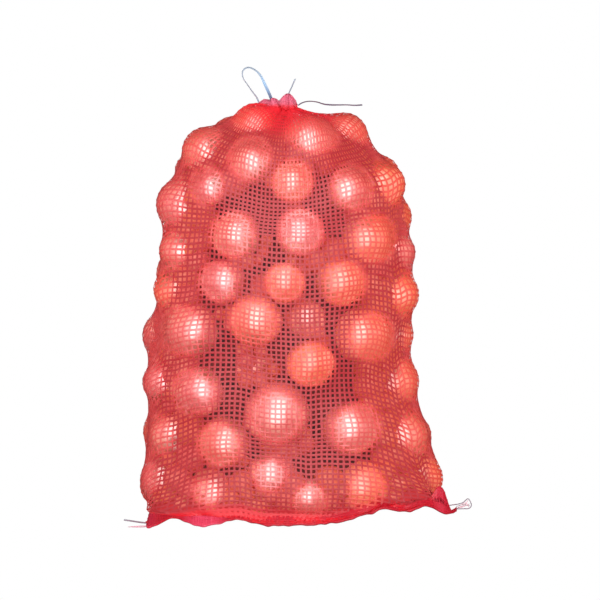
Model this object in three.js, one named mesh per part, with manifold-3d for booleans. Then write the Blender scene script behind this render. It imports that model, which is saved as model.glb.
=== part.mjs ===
// A net sack packed with onions, standing on its base, its mouth gathered by a drawstring.
// Millimetres, +Z up, front towards -Y, origin on the floor under the middle of the sack.

import * as THREE from "three";
import { mergeVertices } from "three/addons/utils/BufferGeometryUtils.js";
import Module from "manifold-3d";

// Sack outline from the floor up: [height, middle across, half width, half depth]
const OUTLINE = [
  [0, -9, 183, 98],
  [35, -9, 188, 104],
  [90, -11, 178, 108],
  [150, -19, 170, 108],
  [207, -29, 163, 106],
  [265, -15, 164, 104],
  [300, -17, 158, 102],
  [381, -18, 157, 96],
  [410, -13, 143, 88],
  [439, -23, 123, 78],
  [468, -19, 95, 62],
  [505, -10, 54, 40],
];
const SECTION_POWER = 2.3;
const BASE = { x: -48, halfWidth: 104, halfDepth: 62 };
const NET_LIFT = 1.5;
const NET_DIP = 0.15;

// Onions in the front face, row by row from the floor up: [across, height, diameter, set back]
const FRONT_ROWS = [
  [[-164, 48, 55], [-102, 40, 65], [-29, 60, 62], [11, 36, 48], [77, 45, 67], [145, 54, 58]],
  [[-151, 103, 55], [-91, 96, 62], [-26, 134, 80], [62, 115, 70], [133, 97, 60]],
  [[-162, 166, 50], [-116, 160, 60], [-54, 196, 53, 14], [16, 196, 58], [119, 165, 60]],
  [[-127, 232, 67], [-61, 244, 65], [10, 244, 50, 14], [80, 226, 70], [116, 220, 48, 16]],
  [[-149, 284, 48], [-85, 289, 55], [-16, 292, 50], [50, 291, 58], [119, 271, 55]],
  [[-144, 321, 50], [-74, 344, 60], [2, 351, 60], [88, 340, 65], [120, 321, 46]],
  [[-139, 379, 62], [-110, 400, 43, 14], [66, 400, 53], [112, 403, 53]],
  [[-122, 441, 58], [-58, 433, 55], [-10, 422, 53, 12]],
  [[-53, 464, 53], [17, 449, 62], [54, 458, 53]],
];
const BACK_REACH = 0.8;
const BACK_SHIFT = 24;
const BACK_SPREAD = 0.16;
const BACK_TOP = 440;

// Onions at the left and right edges, a little behind the middle: [height, diameter]
const SIDE_DEPTH = 22;
const SIDE_COLUMNS = [
  { side: -1, onions: [[36, 58], [101, 56], [159, 54], [217, 60], [291, 64], [366, 62], [414, 46]] },
  { side: 1, onions: [[50, 46], [95, 50], [144, 54], [200, 54], [260, 58], [311, 52], [361, 54], [407, 48]] },
];
const SEED = 4177;
const DRAW_STEP = 16807;
const DRAW_RANGE = 2147483647;
const SETTLE_SWEEPS = 40;
const FRONT_HOLD = 0.12;
const FLOOR_GAP = 1;

// Gathered neck and the two lobes of the mouth above it
const NECK = { x: -13, y: 0, z: 481, r: 13 };
const PLEATS = 7;
const PLEAT_DEPTH = 0.16;
const LOBE_SIDES = 28;
const LOBE_RINGS = 10;
const LOBES = [
  { x: -33, y: 0, z: 496, halfWidth: 16, halfDepth: 11, halfHeight: 11 },
  { x: -12, y: 0, z: 498, halfWidth: 12, halfDepth: 11, halfHeight: 13 },
];

// Sewn hem along the lower front edge, from the left corner to the raised right corner
const HEM = { left: -181, right: 189, height: 11, thickness: 4.5, lean: 10 };
const HEM_STEPS = { along: 54, up: 2, through: 1 };
const HEM_PLAN = { leftY: -40, rightY: -30, bow: 57, power: 2.6 };
const HEM_WAVES = [
  { height: 7, length: 75, crest: -149, side: -1, from: 30, full: 70 },
  { height: 7, length: 48, crest: 104, side: 1, from: 70, full: 104 },
];
const HEM_RISES = [
  { height: 2, from: -175, to: -130 },
  { height: 13.5, from: 20, to: 105 },
];
const HEM_FLAPS = [
  { x: -111, halfWidth: 40, reach: 12 },
  { x: -190, halfWidth: 45, reach: 52 },
];
const EAR = { from: 120, root: 154, rise: 4, tip: 1.5, droop: 7 };
const SEAM = { r: 9, inset: 9, balls: 160, from: 0, to: 0.93, up: 0.9 };

// Net surface: rays from an upright spine, with a cap of rays at each end
const SPINE = { x: -14, low: 110, high: 400 };
const RAY_FAN = { width: 160, depth: 104 };
const COLUMNS = 68;
const CAP_ROWS = 16;
const WALL_ROWS = 25;
const ROWS = CAP_ROWS + WALL_ROWS + CAP_ROWS;
const TIGHTEN_STEPS = 260;

// Flat drawstring tape
const TAPE_WIDTH = 3.6;
const TAPE_THICKNESS = 1.4;
const TAPE_SIDES = 8;
const LOOP_ROUTE = [
  [-28, 16, 489.5],
  [-31.5, 14.5, 502],
  [-35.5, 11, 512],
  [-40, 7, 522],
  [-45.5, 3.5, 533],
  [-53, 1.5, 540],
  [-60.5, 1, 542],
  [-66, 1.5, 538],
  [-66, 3.5, 530],
  [-60.5, 7, 521],
  [-54.5, 11, 512],
  [-48.5, 14.5, 503],
  [-44, 16, 487.5],
];
const SHORT_TAIL_ROUTE = [
  [-15, 16, 492.8],
  [-13.8, 16, 501],
  [-11.8, 14, 508],
  [-9, 11, 514.5],
  [-6, 8, 521.5],
  [-3.5, 5.5, 528],
];
const LONG_TAIL_ROUTE = [
  [0, -9, 497.5],
  [6, -10, 501],
  [14, -10.5, 502.5],
  [23, -10.5, 501.5],
  [31, -10, 499],
  [40, -9, 498],
  [50, -9, 498],
  [59, -9, 498],
  [68, -9, 497.5],
  [77, -9, 498],
];
const TAPE_STEPS = { loop: 24, short: 8, long: 16 };

// Points closer than this are joined before solids are
const WELD = 1e-3;

const MATERIALS = {
  net: new THREE.MeshStandardMaterial({ color: 0xd5404e, roughness: 0.5, metalness: 0 }),
  tape: new THREE.MeshStandardMaterial({ color: 0x8fb6d6, roughness: 0.4, metalness: 0 }),
};

const wasm = await Module();
wasm.setup();

// Middle, half width and half depth of the sack's section at a height
function outlineAt(height) {
  const top = OUTLINE.findIndex((row) => row[0] > height);
  const upper = top < 0 ? OUTLINE.length - 1 : Math.max(top, 1);
  const below = OUTLINE[upper - 1];
  const above = OUTLINE[upper];
  const share = THREE.MathUtils.clamp((height - below[0]) / (above[0] - below[0]), 0, 1);
  return [1, 2, 3].map((k) => THREE.MathUtils.lerp(below[k], above[k], share));
}

// Depth at which an onion touches the net, for its place across the section
function depthInside(x, z, r) {
  const [middle, halfWidth, halfDepth] = outlineAt(z);
  const across = Math.min(Math.abs(x - middle) / (halfWidth - r), 1);
  return (halfDepth - r) * (1 - across ** SECTION_POWER) ** (1 / SECTION_POWER);
}

// Spot at the left or right edge of the section, a little behind its middle
function sideSpot(side, z, r) {
  const [middle, halfWidth, halfDepth] = outlineAt(z);
  const deep = (SIDE_DEPTH / (halfDepth - r)) ** SECTION_POWER;
  return { x: middle + side * (halfWidth - r) * (1 - deep) ** (1 / SECTION_POWER), y: SIDE_DEPTH, z };
}

// Pulls an onion back inside the section at its height, and off the floor
function keepInside(onion) {
  const [middle, halfWidth, halfDepth] = outlineAt(onion.z);
  const across = Math.abs(onion.x - middle) / (halfWidth - onion.r);
  const deep = Math.abs(onion.y) / (halfDepth - onion.r);
  const reach = across ** SECTION_POWER + deep ** SECTION_POWER;
  if (reach > 1) {
    const pull = reach ** (-1 / SECTION_POWER);
    onion.x = middle + (onion.x - middle) * pull;
    onion.y *= pull;
  }
  onion.z = Math.max(onion.z, onion.r + FLOOR_GAP);
}

// Pushes two crossing onions apart, the front ones mostly in depth
function separate(a, b) {
  const away = new THREE.Vector3(a.x - b.x, a.y - b.y, a.z - b.z);
  const overlap = a.r + b.r - away.length();
  if (overlap <= 0) return;
  away.setLength(overlap / 2);
  for (const [onion, sign] of [[a, 1], [b, -1]]) {
    onion.x += sign * away.x * onion.hold;
    onion.y += sign * away.y;
    onion.z += sign * away.z * onion.hold;
  }
}

// All onions against the net: the front rows, the back filled like the front, mirrored, and
// a column at each edge
function packOnions() {
  let state = SEED;
  const draw = () => {
    state = (state * DRAW_STEP) % DRAW_RANGE;
    return state / DRAW_RANGE - 0.5;
  };
  const onions = FRONT_ROWS.flat().map(([x, z, diameter, setBack = 0]) => {
    const r = diameter / 2;
    return { x, y: setBack - depthInside(x, z, r), z, r, hold: FRONT_HOLD };
  });
  for (const front of [...onions]) {
    const [middle, halfWidth] = outlineAt(front.z);
    const across = Math.abs(front.x - middle) / (halfWidth - front.r);
    const r = front.r * (1 + BACK_SPREAD * draw());
    const x = 2 * middle - front.x + BACK_SHIFT * draw();
    const z = Math.min(front.z, BACK_TOP) + BACK_SHIFT * draw();
    if (across < BACK_REACH) onions.push({ x, y: depthInside(x, z, r), z, r, hold: 1 });
  }
  for (const { side, onions: column } of SIDE_COLUMNS) {
    for (const [z, diameter] of column) {
      const r = diameter / 2;
      onions.push({ ...sideSpot(side, z, r), r, hold: FRONT_HOLD });
    }
  }
  for (let sweep = 0; sweep < SETTLE_SWEEPS; sweep += 1) {
    onions.forEach((a, i) => onions.slice(i + 1).forEach((b) => separate(a, b)));
    onions.forEach(keepInside);
  }
  return onions;
}

// Start and direction of the ray for one net node, columns running left, front, right, back
function netRay(row, column) {
  const turn = (2 * Math.PI * column) / COLUMNS;
  const plan = new THREE.Vector2(-RAY_FAN.width * Math.cos(turn), -RAY_FAN.depth * Math.sin(turn));
  plan.normalize();
  const above = Math.max(CAP_ROWS - row, 0) / CAP_ROWS;
  const under = Math.max(row - CAP_ROWS - WALL_ROWS, 0) / CAP_ROWS;
  const tilt = (Math.PI / 2) * (above - under);
  const down = THREE.MathUtils.clamp((row - CAP_ROWS) / WALL_ROWS, 0, 1);
  const start = new THREE.Vector3(SPINE.x, 0, THREE.MathUtils.lerp(SPINE.high, SPINE.low, down));
  const level = Math.cos(tilt);
  return { start, way: new THREE.Vector3(plan.x * level, plan.y * level, Math.sin(tilt)) };
}

// How far along its ray a net node is pushed by the onions, the neck and the flat base
function innerReach({ start, way }, balls) {
  let reach = 0;
  for (const ball of balls) {
    const to = new THREE.Vector3(ball.x, ball.y, ball.z).sub(start);
    const along = to.dot(way);
    const miss = to.lengthSq() - along * along;
    const radius = ball.r + NET_LIFT;
    if (miss < radius * radius) reach = Math.max(reach, along + Math.sqrt(radius * radius - miss));
  }
  if (way.z < 0) {
    const floor = floorReach({ start, way });
    const x = (start.x + way.x * floor - BASE.x) / BASE.halfWidth;
    const y = (start.y + way.y * floor) / BASE.halfDepth;
    if (x * x + y * y < 1) reach = Math.max(reach, floor);
  }
  return reach;
}

// Distance along a downward ray to the floor
function floorReach({ start, way }) {
  return way.z < 0 ? start.z / -way.z : Infinity;
}

// The net pulled tight over the onions: each node moves to the mean of its neighbours along its ray
function tightenNet(onions) {
  const balls = [...onions, ...seamBalls(), NECK];
  const nodes = [];
  for (let row = 0; row <= ROWS; row += 1) {
    for (let column = 0; column < COLUMNS; column += 1) {
      const ray = netRay(row, column);
      const least = innerReach(ray, balls);
      const most = floorReach(ray);
      const start = Math.min(Math.max(least, RAY_FAN.depth), most);
      const at = ray.start.clone().addScaledVector(ray.way, start);
      nodes.push({ ...ray, least, most, at });
    }
  }
  const node = (row, column) => nodes[row * COLUMNS + ((column + COLUMNS) % COLUMNS)];
  const around = (row) => nodes.slice(row * COLUMNS, (row + 1) * COLUMNS);
  const pullTo = (spot, mean) => {
    const reach = mean.sub(spot.start).dot(spot.way) - NET_DIP;
    const held = Math.min(Math.max(reach, spot.least), spot.most);
    spot.at.copy(spot.start).addScaledVector(spot.way, held);
  };
  const meanOf = (spots) => {
    const mean = new THREE.Vector3();
    spots.forEach((spot) => mean.add(spot.at));
    return mean.divideScalar(spots.length);
  };
  for (let step = 0; step < TIGHTEN_STEPS; step += 1) {
    for (let row = 1; row < ROWS; row += 1) {
      for (let column = 0; column < COLUMNS; column += 1) {
        const near = [node(row, column - 1), node(row, column + 1)];
        near.push(node(row - 1, column), node(row + 1, column));
        pullTo(node(row, column), meanOf(near));
      }
    }
    around(0).forEach((spot) => pullTo(spot, meanOf(around(1))));
    around(ROWS).forEach((spot) => pullTo(spot, meanOf(around(ROWS - 1))));
  }
  return node;
}

// Body of the sack: a sphere's grid of faces moved onto the tightened net
function sackBody() {
  const node = tightenNet(packOnions());
  const geometry = new THREE.SphereGeometry(1, COLUMNS, ROWS);
  const position = geometry.getAttribute("position");
  for (let row = 0; row <= ROWS; row += 1) {
    for (let column = 0; column <= COLUMNS; column += 1) {
      const at = node(row, column).at;
      position.setXYZ(row * (COLUMNS + 1) + column, at.x, at.y, at.z);
    }
  }
  return geometry;
}

// Height of the hem above the floor without its waves
function hemFoot(x) {
  const { smoothstep } = THREE.MathUtils;
  const rises = HEM_RISES.map(({ height, from, to }) => height * smoothstep(x, from, to));
  const risen = rises.reduce((sum, rise) => sum + rise, FLOOR_GAP);
  return risen - EAR.droop * smoothstep(x, EAR.root, HEM.right);
}

// Height of the hem's waves in its lower edge
function hemWave(x) {
  return HEM_WAVES.reduce((sum, wave) => {
    const turn = (2 * Math.PI * (x - wave.crest)) / wave.length;
    const share = THREE.MathUtils.smoothstep(wave.side * x, wave.from, wave.full);
    return sum + wave.height * (0.5 + 0.5 * Math.cos(turn)) * share;
  }, 0);
}

// How far the hem's lower edge lies in front of its seam
function hemLean(x) {
  return HEM_FLAPS.reduce((lean, flap) => {
    const off = Math.min(Math.abs(x - flap.x) / flap.halfWidth, 1);
    return lean + flap.reach * (0.5 + 0.5 * Math.cos(Math.PI * off));
  }, HEM.lean);
}

// A point of the hem: along from the left corner to the right, up from its lower edge
function hemPoint(along, up) {
  const x = THREE.MathUtils.lerp(HEM.left, HEM.right, along);
  const span = Math.abs(2 * along - 1) ** HEM_PLAN.power;
  const ends = THREE.MathUtils.lerp(HEM_PLAN.leftY, HEM_PLAN.rightY, along);
  const plan = ends - HEM_PLAN.bow * (1 - span) ** (1 / HEM_PLAN.power);
  const root = HEM.height + EAR.rise * THREE.MathUtils.smoothstep(x, EAR.from, EAR.root);
  const tall = THREE.MathUtils.lerp(root, EAR.tip, THREE.MathUtils.smoothstep(x, EAR.root, HEM.right));
  const wave = hemWave(x);
  const high = Math.max(tall, wave + EAR.tip);
  const z = hemFoot(x) + THREE.MathUtils.lerp(wave, high, up);
  return new THREE.Vector3(x, plan - hemLean(x) * (1 - up), z);
}

// Small balls behind the seam, which draw the net out to the hem
function seamBalls() {
  return Array.from({ length: SEAM.balls + 1 }, (_, k) => {
    const along = THREE.MathUtils.lerp(SEAM.from, SEAM.to, k / SEAM.balls);
    const { x, y, z } = hemPoint(along, SEAM.up);
    const inward = new THREE.Vector2(SPINE.x - x, -y).setLength(SEAM.inset);
    return { x: x + inward.x, y: y + inward.y, z, r: SEAM.r };
  });
}

// Hem flap: a thin strip that leans forward to the floor and runs out to a corner at each end
function hemFlap() {
  const { along, up, through } = HEM_STEPS;
  const geometry = new THREE.BoxGeometry(1, 1, 1, along, up, through);
  geometry.rotateX(Math.PI / 2);
  const position = geometry.getAttribute("position");
  for (let i = 0; i < position.count; i += 1) {
    const { x, y, z } = hemPoint(position.getX(i) + 0.5, position.getZ(i) + 0.5);
    position.setXYZ(i, x, y + position.getY(i) * HEM.thickness, z);
  }
  return geometry;
}

// One pleated lobe of the gathered mouth
function mouthLobe(lobe) {
  const geometry = new THREE.SphereGeometry(1, LOBE_SIDES, LOBE_RINGS);
  geometry.rotateX(Math.PI / 2);
  const position = geometry.getAttribute("position");
  for (let i = 0; i < position.count; i += 1) {
    const [x, y, z] = [position.getX(i), position.getY(i), position.getZ(i)];
    const pleat = 1 + PLEAT_DEPTH * Math.cos(PLEATS * Math.atan2(y, x)) * (1 - z * z);
    position.setXYZ(
      i,
      lobe.x + x * lobe.halfWidth * pleat,
      lobe.y + y * lobe.halfDepth * pleat,
      lobe.z + z * lobe.halfHeight,
    );
  }
  return geometry;
}

// A closed geometry as a solid that can be joined
function solidOf(geometry) {
  geometry.deleteAttribute("normal");
  geometry.deleteAttribute("uv");
  const merged = mergeVertices(geometry, WELD);
  return new wasm.Manifold(new wasm.Mesh({
    numProp: 3,
    vertProperties: new Float32Array(merged.getAttribute("position").array),
    triVerts: new Uint32Array(merged.index.array),
  }));
}

// A joined solid as a geometry again
function geometryOf(solid) {
  const mesh = solid.getMesh();
  const geometry = new THREE.BufferGeometry();
  geometry.setAttribute("position", new THREE.BufferAttribute(mesh.vertProperties, 3));
  geometry.setIndex(new THREE.BufferAttribute(mesh.triVerts, 1));
  geometry.computeVertexNormals();
  return geometry;
}

// Flat tape of the drawstring along a route
function tape(route, steps) {
  const section = new THREE.Shape();
  for (let side = 0; side < TAPE_SIDES; side += 1) {
    const turn = (2 * Math.PI * (side + 0.5)) / TAPE_SIDES;
    const across = (TAPE_THICKNESS / 2) * Math.cos(turn);
    const wide = (TAPE_WIDTH / 2) * Math.sin(turn);
    if (side === 0) section.moveTo(across, wide);
    else section.lineTo(across, wide);
  }
  section.closePath();
  const path = new THREE.CatmullRomCurve3(route.map((point) => new THREE.Vector3(...point)));
  return new THREE.ExtrudeGeometry(section, { steps, bevelEnabled: false, extrudePath: path });
}

function named(name, geometry, material) {
  const mesh = new THREE.Mesh(geometry, material);
  mesh.name = name;
  return mesh;
}

function netSack() {
  const pieces = [hemFlap(), ...LOBES.map(mouthLobe)];
  const joined = pieces.reduce((solid, piece) => solid.add(solidOf(piece)), solidOf(sackBody()));
  return named("net_sack", geometryOf(joined), MATERIALS.net);
}

const sack = new THREE.Group();
sack.add(netSack());
sack.add(named("drawstring_loop", tape(LOOP_ROUTE, TAPE_STEPS.loop), MATERIALS.tape));
sack.add(named("drawstring_tail_short", tape(SHORT_TAIL_ROUTE, TAPE_STEPS.short), MATERIALS.tape));
sack.add(named("drawstring_tail_long", tape(LONG_TAIL_ROUTE, TAPE_STEPS.long), MATERIALS.tape));

export default sack;
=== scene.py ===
"""A net sack packed with onions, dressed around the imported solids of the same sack.

The shape functions work in millimetres, as the part's source does, and meshes are made in metres.
"""

import functools
import math

import bpy
import numpy as np
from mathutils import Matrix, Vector


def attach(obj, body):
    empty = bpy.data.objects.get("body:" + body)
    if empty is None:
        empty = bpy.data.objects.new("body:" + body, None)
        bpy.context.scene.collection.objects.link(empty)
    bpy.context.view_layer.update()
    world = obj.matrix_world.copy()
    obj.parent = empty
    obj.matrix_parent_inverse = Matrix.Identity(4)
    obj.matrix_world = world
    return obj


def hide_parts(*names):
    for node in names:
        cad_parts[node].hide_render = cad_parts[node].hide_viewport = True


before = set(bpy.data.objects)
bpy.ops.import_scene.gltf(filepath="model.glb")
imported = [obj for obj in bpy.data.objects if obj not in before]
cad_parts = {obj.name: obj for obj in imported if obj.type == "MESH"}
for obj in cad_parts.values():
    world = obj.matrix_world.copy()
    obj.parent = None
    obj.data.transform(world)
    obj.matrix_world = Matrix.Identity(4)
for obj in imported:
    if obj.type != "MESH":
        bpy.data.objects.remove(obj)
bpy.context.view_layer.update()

bl_info = {
    "name": "Net sack of onions",
    "version": (1, 0, 0),
    "blender": (4, 5, 0),
    "location": "3D View > Sidebar > Net sack",
    "description": "Builds the net, the onions, the hem and the drawstring of a packed net sack",
    "category": "Object",
}

MM = 0.001

# Sack outline from the floor up: height, middle across, half width, half depth
OUTLINE = np.array([
    [0, -9, 183, 98],
    [35, -9, 188, 104],
    [90, -11, 178, 108],
    [150, -19, 170, 108],
    [207, -29, 163, 106],
    [265, -15, 164, 104],
    [300, -17, 158, 102],
    [381, -18, 157, 96],
    [410, -13, 143, 88],
    [439, -23, 123, 78],
    [468, -19, 95, 62],
    [505, -10, 54, 40],
])
SECTION_POWER = 2.3
BASE = {"x": -48, "half_width": 104, "half_depth": 62}

# Onions in the front face, row by row from the floor up: across, height, diameter, set back
FRONT_ROWS = [
    [(-164, 48, 55), (-102, 40, 65), (-29, 60, 62), (11, 36, 48), (77, 45, 67), (145, 54, 58)],
    [(-151, 103, 55), (-91, 96, 62), (-26, 134, 80), (62, 115, 70), (133, 97, 60)],
    [(-162, 166, 50), (-116, 160, 60), (-54, 196, 53, 14), (16, 196, 58), (119, 165, 60)],
    [(-127, 232, 67), (-61, 244, 65), (10, 244, 50, 14), (80, 226, 70), (116, 220, 48, 16)],
    [(-149, 284, 48), (-85, 289, 55), (-16, 292, 50), (50, 291, 58), (119, 271, 55)],
    [(-144, 321, 50), (-74, 344, 60), (2, 351, 60), (88, 340, 65), (120, 321, 46)],
    [(-139, 379, 62), (-110, 400, 43, 14), (66, 400, 53), (112, 403, 53)],
    [(-122, 441, 58), (-58, 433, 55), (-10, 422, 53, 12)],
    [(-53, 464, 53), (17, 449, 62), (54, 458, 53)],
]
BACK_REACH = 0.8
BACK_SHIFT = 24
BACK_SPREAD = 0.16
BACK_TOP = 440
SIDE_DEPTH = 22
SIDE_COLUMNS = {
    -1: [(36, 58), (101, 56), (159, 54), (217, 60), (291, 64), (366, 62), (414, 46)],
    1: [(50, 46), (95, 50), (144, 54), (200, 54), (260, 58), (311, 52), (361, 54), (407, 48)],
}
PACK_SEED = 4177
DRAW_STEP = 16807
DRAW_RANGE = 2147483647
SETTLE_SWEEPS = 40
FRONT_HOLD = 0.12
FLOOR_GAP = 1

# Gathered neck and the two lobes of the mouth above it
NECK = {"x": -13, "y": 0, "z": 481, "r": 13}
LOBES = [
    {"x": -33, "y": 0, "z": 496, "half_width": 16, "half_depth": 11, "half_height": 11},
    {"x": -12, "y": 0, "z": 498, "half_width": 12, "half_depth": 11, "half_height": 13},
]

# Sewn hem along the lower front edge, from the left corner to the raised right corner
HEM = {"left": -181, "right": 189, "height": 11, "lean": 10}
HEM_PLAN = {"left_y": -40, "right_y": -30, "bow": 57, "power": 2.6}
HEM_WAVES = [
    {"height": 7, "length": 75, "crest": -149, "side": -1, "start": 30, "full": 70},
    {"height": 7, "length": 48, "crest": 104, "side": 1, "start": 70, "full": 104},
]
HEM_RISES = [
    {"height": 2, "start": -175, "end": -130},
    {"height": 13.5, "start": 20, "end": 105},
]
HEM_FLAPS = [
    {"x": -111, "half_width": 40, "reach": 12},
    {"x": -190, "half_width": 45, "reach": 52},
]
EAR = {"start": 120, "root": 154, "rise": 4, "tip": 1.5, "droop": 7}
SEAM = {"r": 9, "inset": 9, "balls": 160, "start": 0, "end": 0.93, "up": 0.9}

# Rays that carry the net: from an upright spine, with a cap of rays at each end
SPINE = {"x": -14, "low": 110, "high": 350}
RAY_FAN = {"width": 165, "depth": 106}
TOP_ROWS = 48
WALL_ROWS = 44
UNDER_ROWS = 40
TIGHTEN_STEPS = 1100
TIGHTEN_PACE = 0.7
NET_LIFT = 0.9
NET_DIP = 0.035

# Drawstring routes, as in the solids
LOOP_ROUTE = [
    (-28, 16, 489.5), (-31.5, 14.5, 502), (-35.5, 11, 512), (-40, 7, 522), (-45.5, 3.5, 533),
    (-53, 1.5, 540), (-60.5, 1, 542), (-66, 1.5, 538), (-66, 3.5, 530), (-60.5, 7, 521),
    (-54.5, 11, 512), (-48.5, 14.5, 503), (-44, 16, 487.5),
]
SHORT_TAIL_ROUTE = [
    (-15, 16, 492.8), (-13.8, 16, 501), (-11.8, 14, 508), (-9, 11, 514.5), (-6, 8, 521.5),
    (-3.5, 5.5, 528),
]
LONG_TAIL_ROUTE = [
    (0, -9, 497.5), (6, -10, 501), (14, -10.5, 502.5), (23, -10.5, 501.5), (31, -10, 499),
    (40, -9, 498), (50, -9, 498), (59, -9, 498), (68, -9, 497.5), (77, -9, 498),
]


def linear(red, green, blue):
    """A colour given as it shows, from 0 to 255, as the light values that Blender works in."""
    shares = [value / 255 for value in (red, green, blue)]
    return tuple(s / 12.92 if s <= 0.04045 else ((s + 0.055) / 1.055) ** 2.4 for s in shares)


def colour_property(name, description, shown):
    """A colour that a user can change, with its default given as it shows."""
    return bpy.props.FloatVectorProperty(
        name=name, description=description, subtype="COLOR", size=3, min=0, max=1,
        default=linear(*shown),
    )


def length_property(name, description, millimetres):
    """A length that a user can change, with its default given in millimetres."""
    return bpy.props.FloatProperty(
        name=name, description=description, unit="LENGTH", min=0, precision=5,
        default=millimetres * MM,
    )


def power_property(name, lamp, watts):
    """A lamp's power that a user can change, with its default given in watts."""
    return bpy.props.FloatProperty(
        name=name, description=f"Power of the {lamp}", unit="POWER", min=0, default=watts,
    )


def share_property(name, description, share):
    """A share from 0 to 1 that a user can change."""
    return bpy.props.FloatProperty(
        name=name, description=description, subtype="FACTOR", min=0, max=1, default=share,
    )


class NetSackStageSettings(bpy.types.PropertyGroup):
    """Camera, floor and lights."""

    camera_distance: length_property("Distance", "From the camera to its aim", 12000)
    camera_elevation: bpy.props.FloatProperty(
        name="Elevation", description="Angle of the camera above level", subtype="ANGLE",
        default=math.radians(6),
    )
    camera_lens: bpy.props.FloatProperty(
        name="Lens", description="Focal length of the camera", unit="CAMERA", default=600, min=1,
    )
    camera_aim: bpy.props.FloatVectorProperty(
        name="Aim", description="Point that the camera looks at", subtype="TRANSLATION",
        size=3, default=(0.0024, 0.0, 0.2623),
    )
    world_light: bpy.props.FloatProperty(
        name="World light", description="Strength of the even light all round", default=0.2, min=0,
    )
    key_power: power_property("Key power", "large front lamp", 26)
    side_power: power_property("Side power", "lamp at each side", 34)
    top_power: power_property("Top power", "lamp above the sack", 11)
    back_power: power_property("Back power", "lamp behind the sack", 16)
    gloss_power: power_property("Gloss power", "lamp that only glossy things mirror", 62)


class NetSackNetSettings(bpy.types.PropertyGroup):
    """The net's strands."""

    columns: bpy.props.IntProperty(
        name="Columns", description="Upright strands round the sack", default=136, min=24,
    )
    rows: bpy.props.IntProperty(
        name="Rows", description="Level strands from the seam to the neck", default=92, min=24,
    )
    strand_width: length_property("Strand width", "Width of a flat strand", 2.5)
    strand_thickness: length_property("Strand thickness", "Thickness of a flat strand", 0.5)
    weave: length_property("Weave", "How far a strand goes over and under the next", 0.24)
    colour: colour_property("Net colour", "Usual colour of a strand", (206, 74, 75))
    pale: colour_property("Pale colour", "Where a strand is thin", (218, 104, 103))
    deep: colour_property("Deep colour", "Where strands are thick", (188, 46, 50))
    # Painted light: a strand close over an amber onion takes on the onion's colour, as light seen
    # through it
    warm: colour_property("Warm colour", "Where an amber onion shows through", (218, 76, 58))
    # Painted shade: strands darken towards this colour where no onion lies close behind them
    shade: colour_property("Shade colour", "Where nothing lies close behind the net", (150, 30, 40))
    foot: colour_property("Foot colour", "Where the net is sewn into the hem", (204, 20, 34))
    neck: colour_property("Neck colour", "Where the net is gathered at the neck", (240, 40, 52))
    glow: share_property("Glow", "Share of light that a strand's face lets through", 0.88)
    glow_colour: colour_property("Glow colour", "Tint of that light", (255, 240, 238))


class NetSackOnionSettings(bpy.types.PropertyGroup):
    """The onions' skins."""

    amber: colour_property("Amber skin", "Skin of the yellower onions", (236, 124, 82))
    rosy: colour_property("Rosy skin", "Skin of the redder onions", (234, 114, 108))
    cream: colour_property("Cream skin", "Where the outer skin is gone", (248, 164, 138))
    vein: colour_property("Vein colour", "Lines from root to neck", (212, 88, 68))
    husk: colour_property("Husk colour", "Dry skin at the neck and root", (176, 86, 60))
    # Painted shade: onions behind the gaps darken towards this colour
    dim: colour_property("Dim colour", "Onions that lie in the shade of others", (156, 44, 38))
    roughness: share_property("Roughness", "How dull the skin is", 0.5)


class NetSackTrimSettings(bpy.types.PropertyGroup):
    """Hem, mouth and drawstring."""

    hem_colour: colour_property("Hem colour", "Sewn hem where it lies forward", (214, 60, 90))
    hem_pale: colour_property("Hem pale colour", "Hem where it is thin", (236, 96, 122))
    hem_deep: colour_property("Hem deep colour", "Hem in its creases", (182, 30, 44))
    # Painted shade: the hem darkens towards this colour where it hangs, less on the web and the flaps
    hem_shade: colour_property("Hem shade", "Hem where it hangs", (178, 18, 32))
    mouth_colour: colour_property("Mouth colour", "Gathered edge of the mouth", (222, 106, 132))
    mouth_pale: colour_property("Mouth pale colour", "Mouth where it is thin", (244, 150, 168))
    thread_colour: colour_property("Thread colour", "Loose sewing thread", (142, 118, 132))
    fray_colour: colour_property("Fray colour", "Frayed ends of the net", (222, 160, 176))
    tape_width: length_property("Tape width", "Width of the drawstring", 3.6)
    tape_thickness: length_property("Tape thickness", "Thickness of the drawstring", 0.5)
    tape_colour: colour_property("Tape colour", "Drawstring", (134, 176, 214))
    tape_pale: colour_property("Pale tape colour", "Drawstring where it is thin", (206, 222, 232))
    tape_deep: colour_property("Deep tape colour", "Drawstring where it folds", (84, 108, 140))
    # A greyer colour that the drawstring takes along parts of its way
    tape_grey: colour_property("Grey tape colour", "Drawstring where it is worn", (176, 186, 198))
    # Painted shade: parts of the drawstring darken towards this colour, the long tail most
    tape_painted_shade: colour_property("Dark tape colour", "Drawstring where it is shaded", (104, 92, 116))


# Small helpers for shapes

# Points to a span of a smooth line
SPAN_STEPS = 24


def unit(vectors):
    """Vectors along the last axis, scaled to length 1."""
    return vectors / np.maximum(np.linalg.norm(vectors, axis=-1, keepdims=True), 1e-9)


def smoothstep(value, low, high):
    """0 below low, 1 above high, and an S curve between."""
    share = np.clip((value - low) / (high - low), 0, 1)
    return share * share * (3 - 2 * share)


def catmull_rom(points, steps):
    """An even, smooth line through points."""
    points = np.asarray(points, float)
    padded = np.vstack([2 * points[0] - points[1], points, 2 * points[-1] - points[-2]])
    spans = []
    for k in range(len(points) - 1):
        a, b, c, d = padded[k:k + 4]
        t = np.linspace(0, 1, SPAN_STEPS, endpoint=False)[:, None]
        cubic = (3 * b - a - 3 * c + d) * t ** 3
        spans.append(0.5 * (2 * b + (c - a) * t + (2 * a - 5 * b + 4 * c - d) * t * t + cubic))
    return resample(np.vstack([*spans, points[-1:]]), np.linspace(0, 1, steps))


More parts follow.
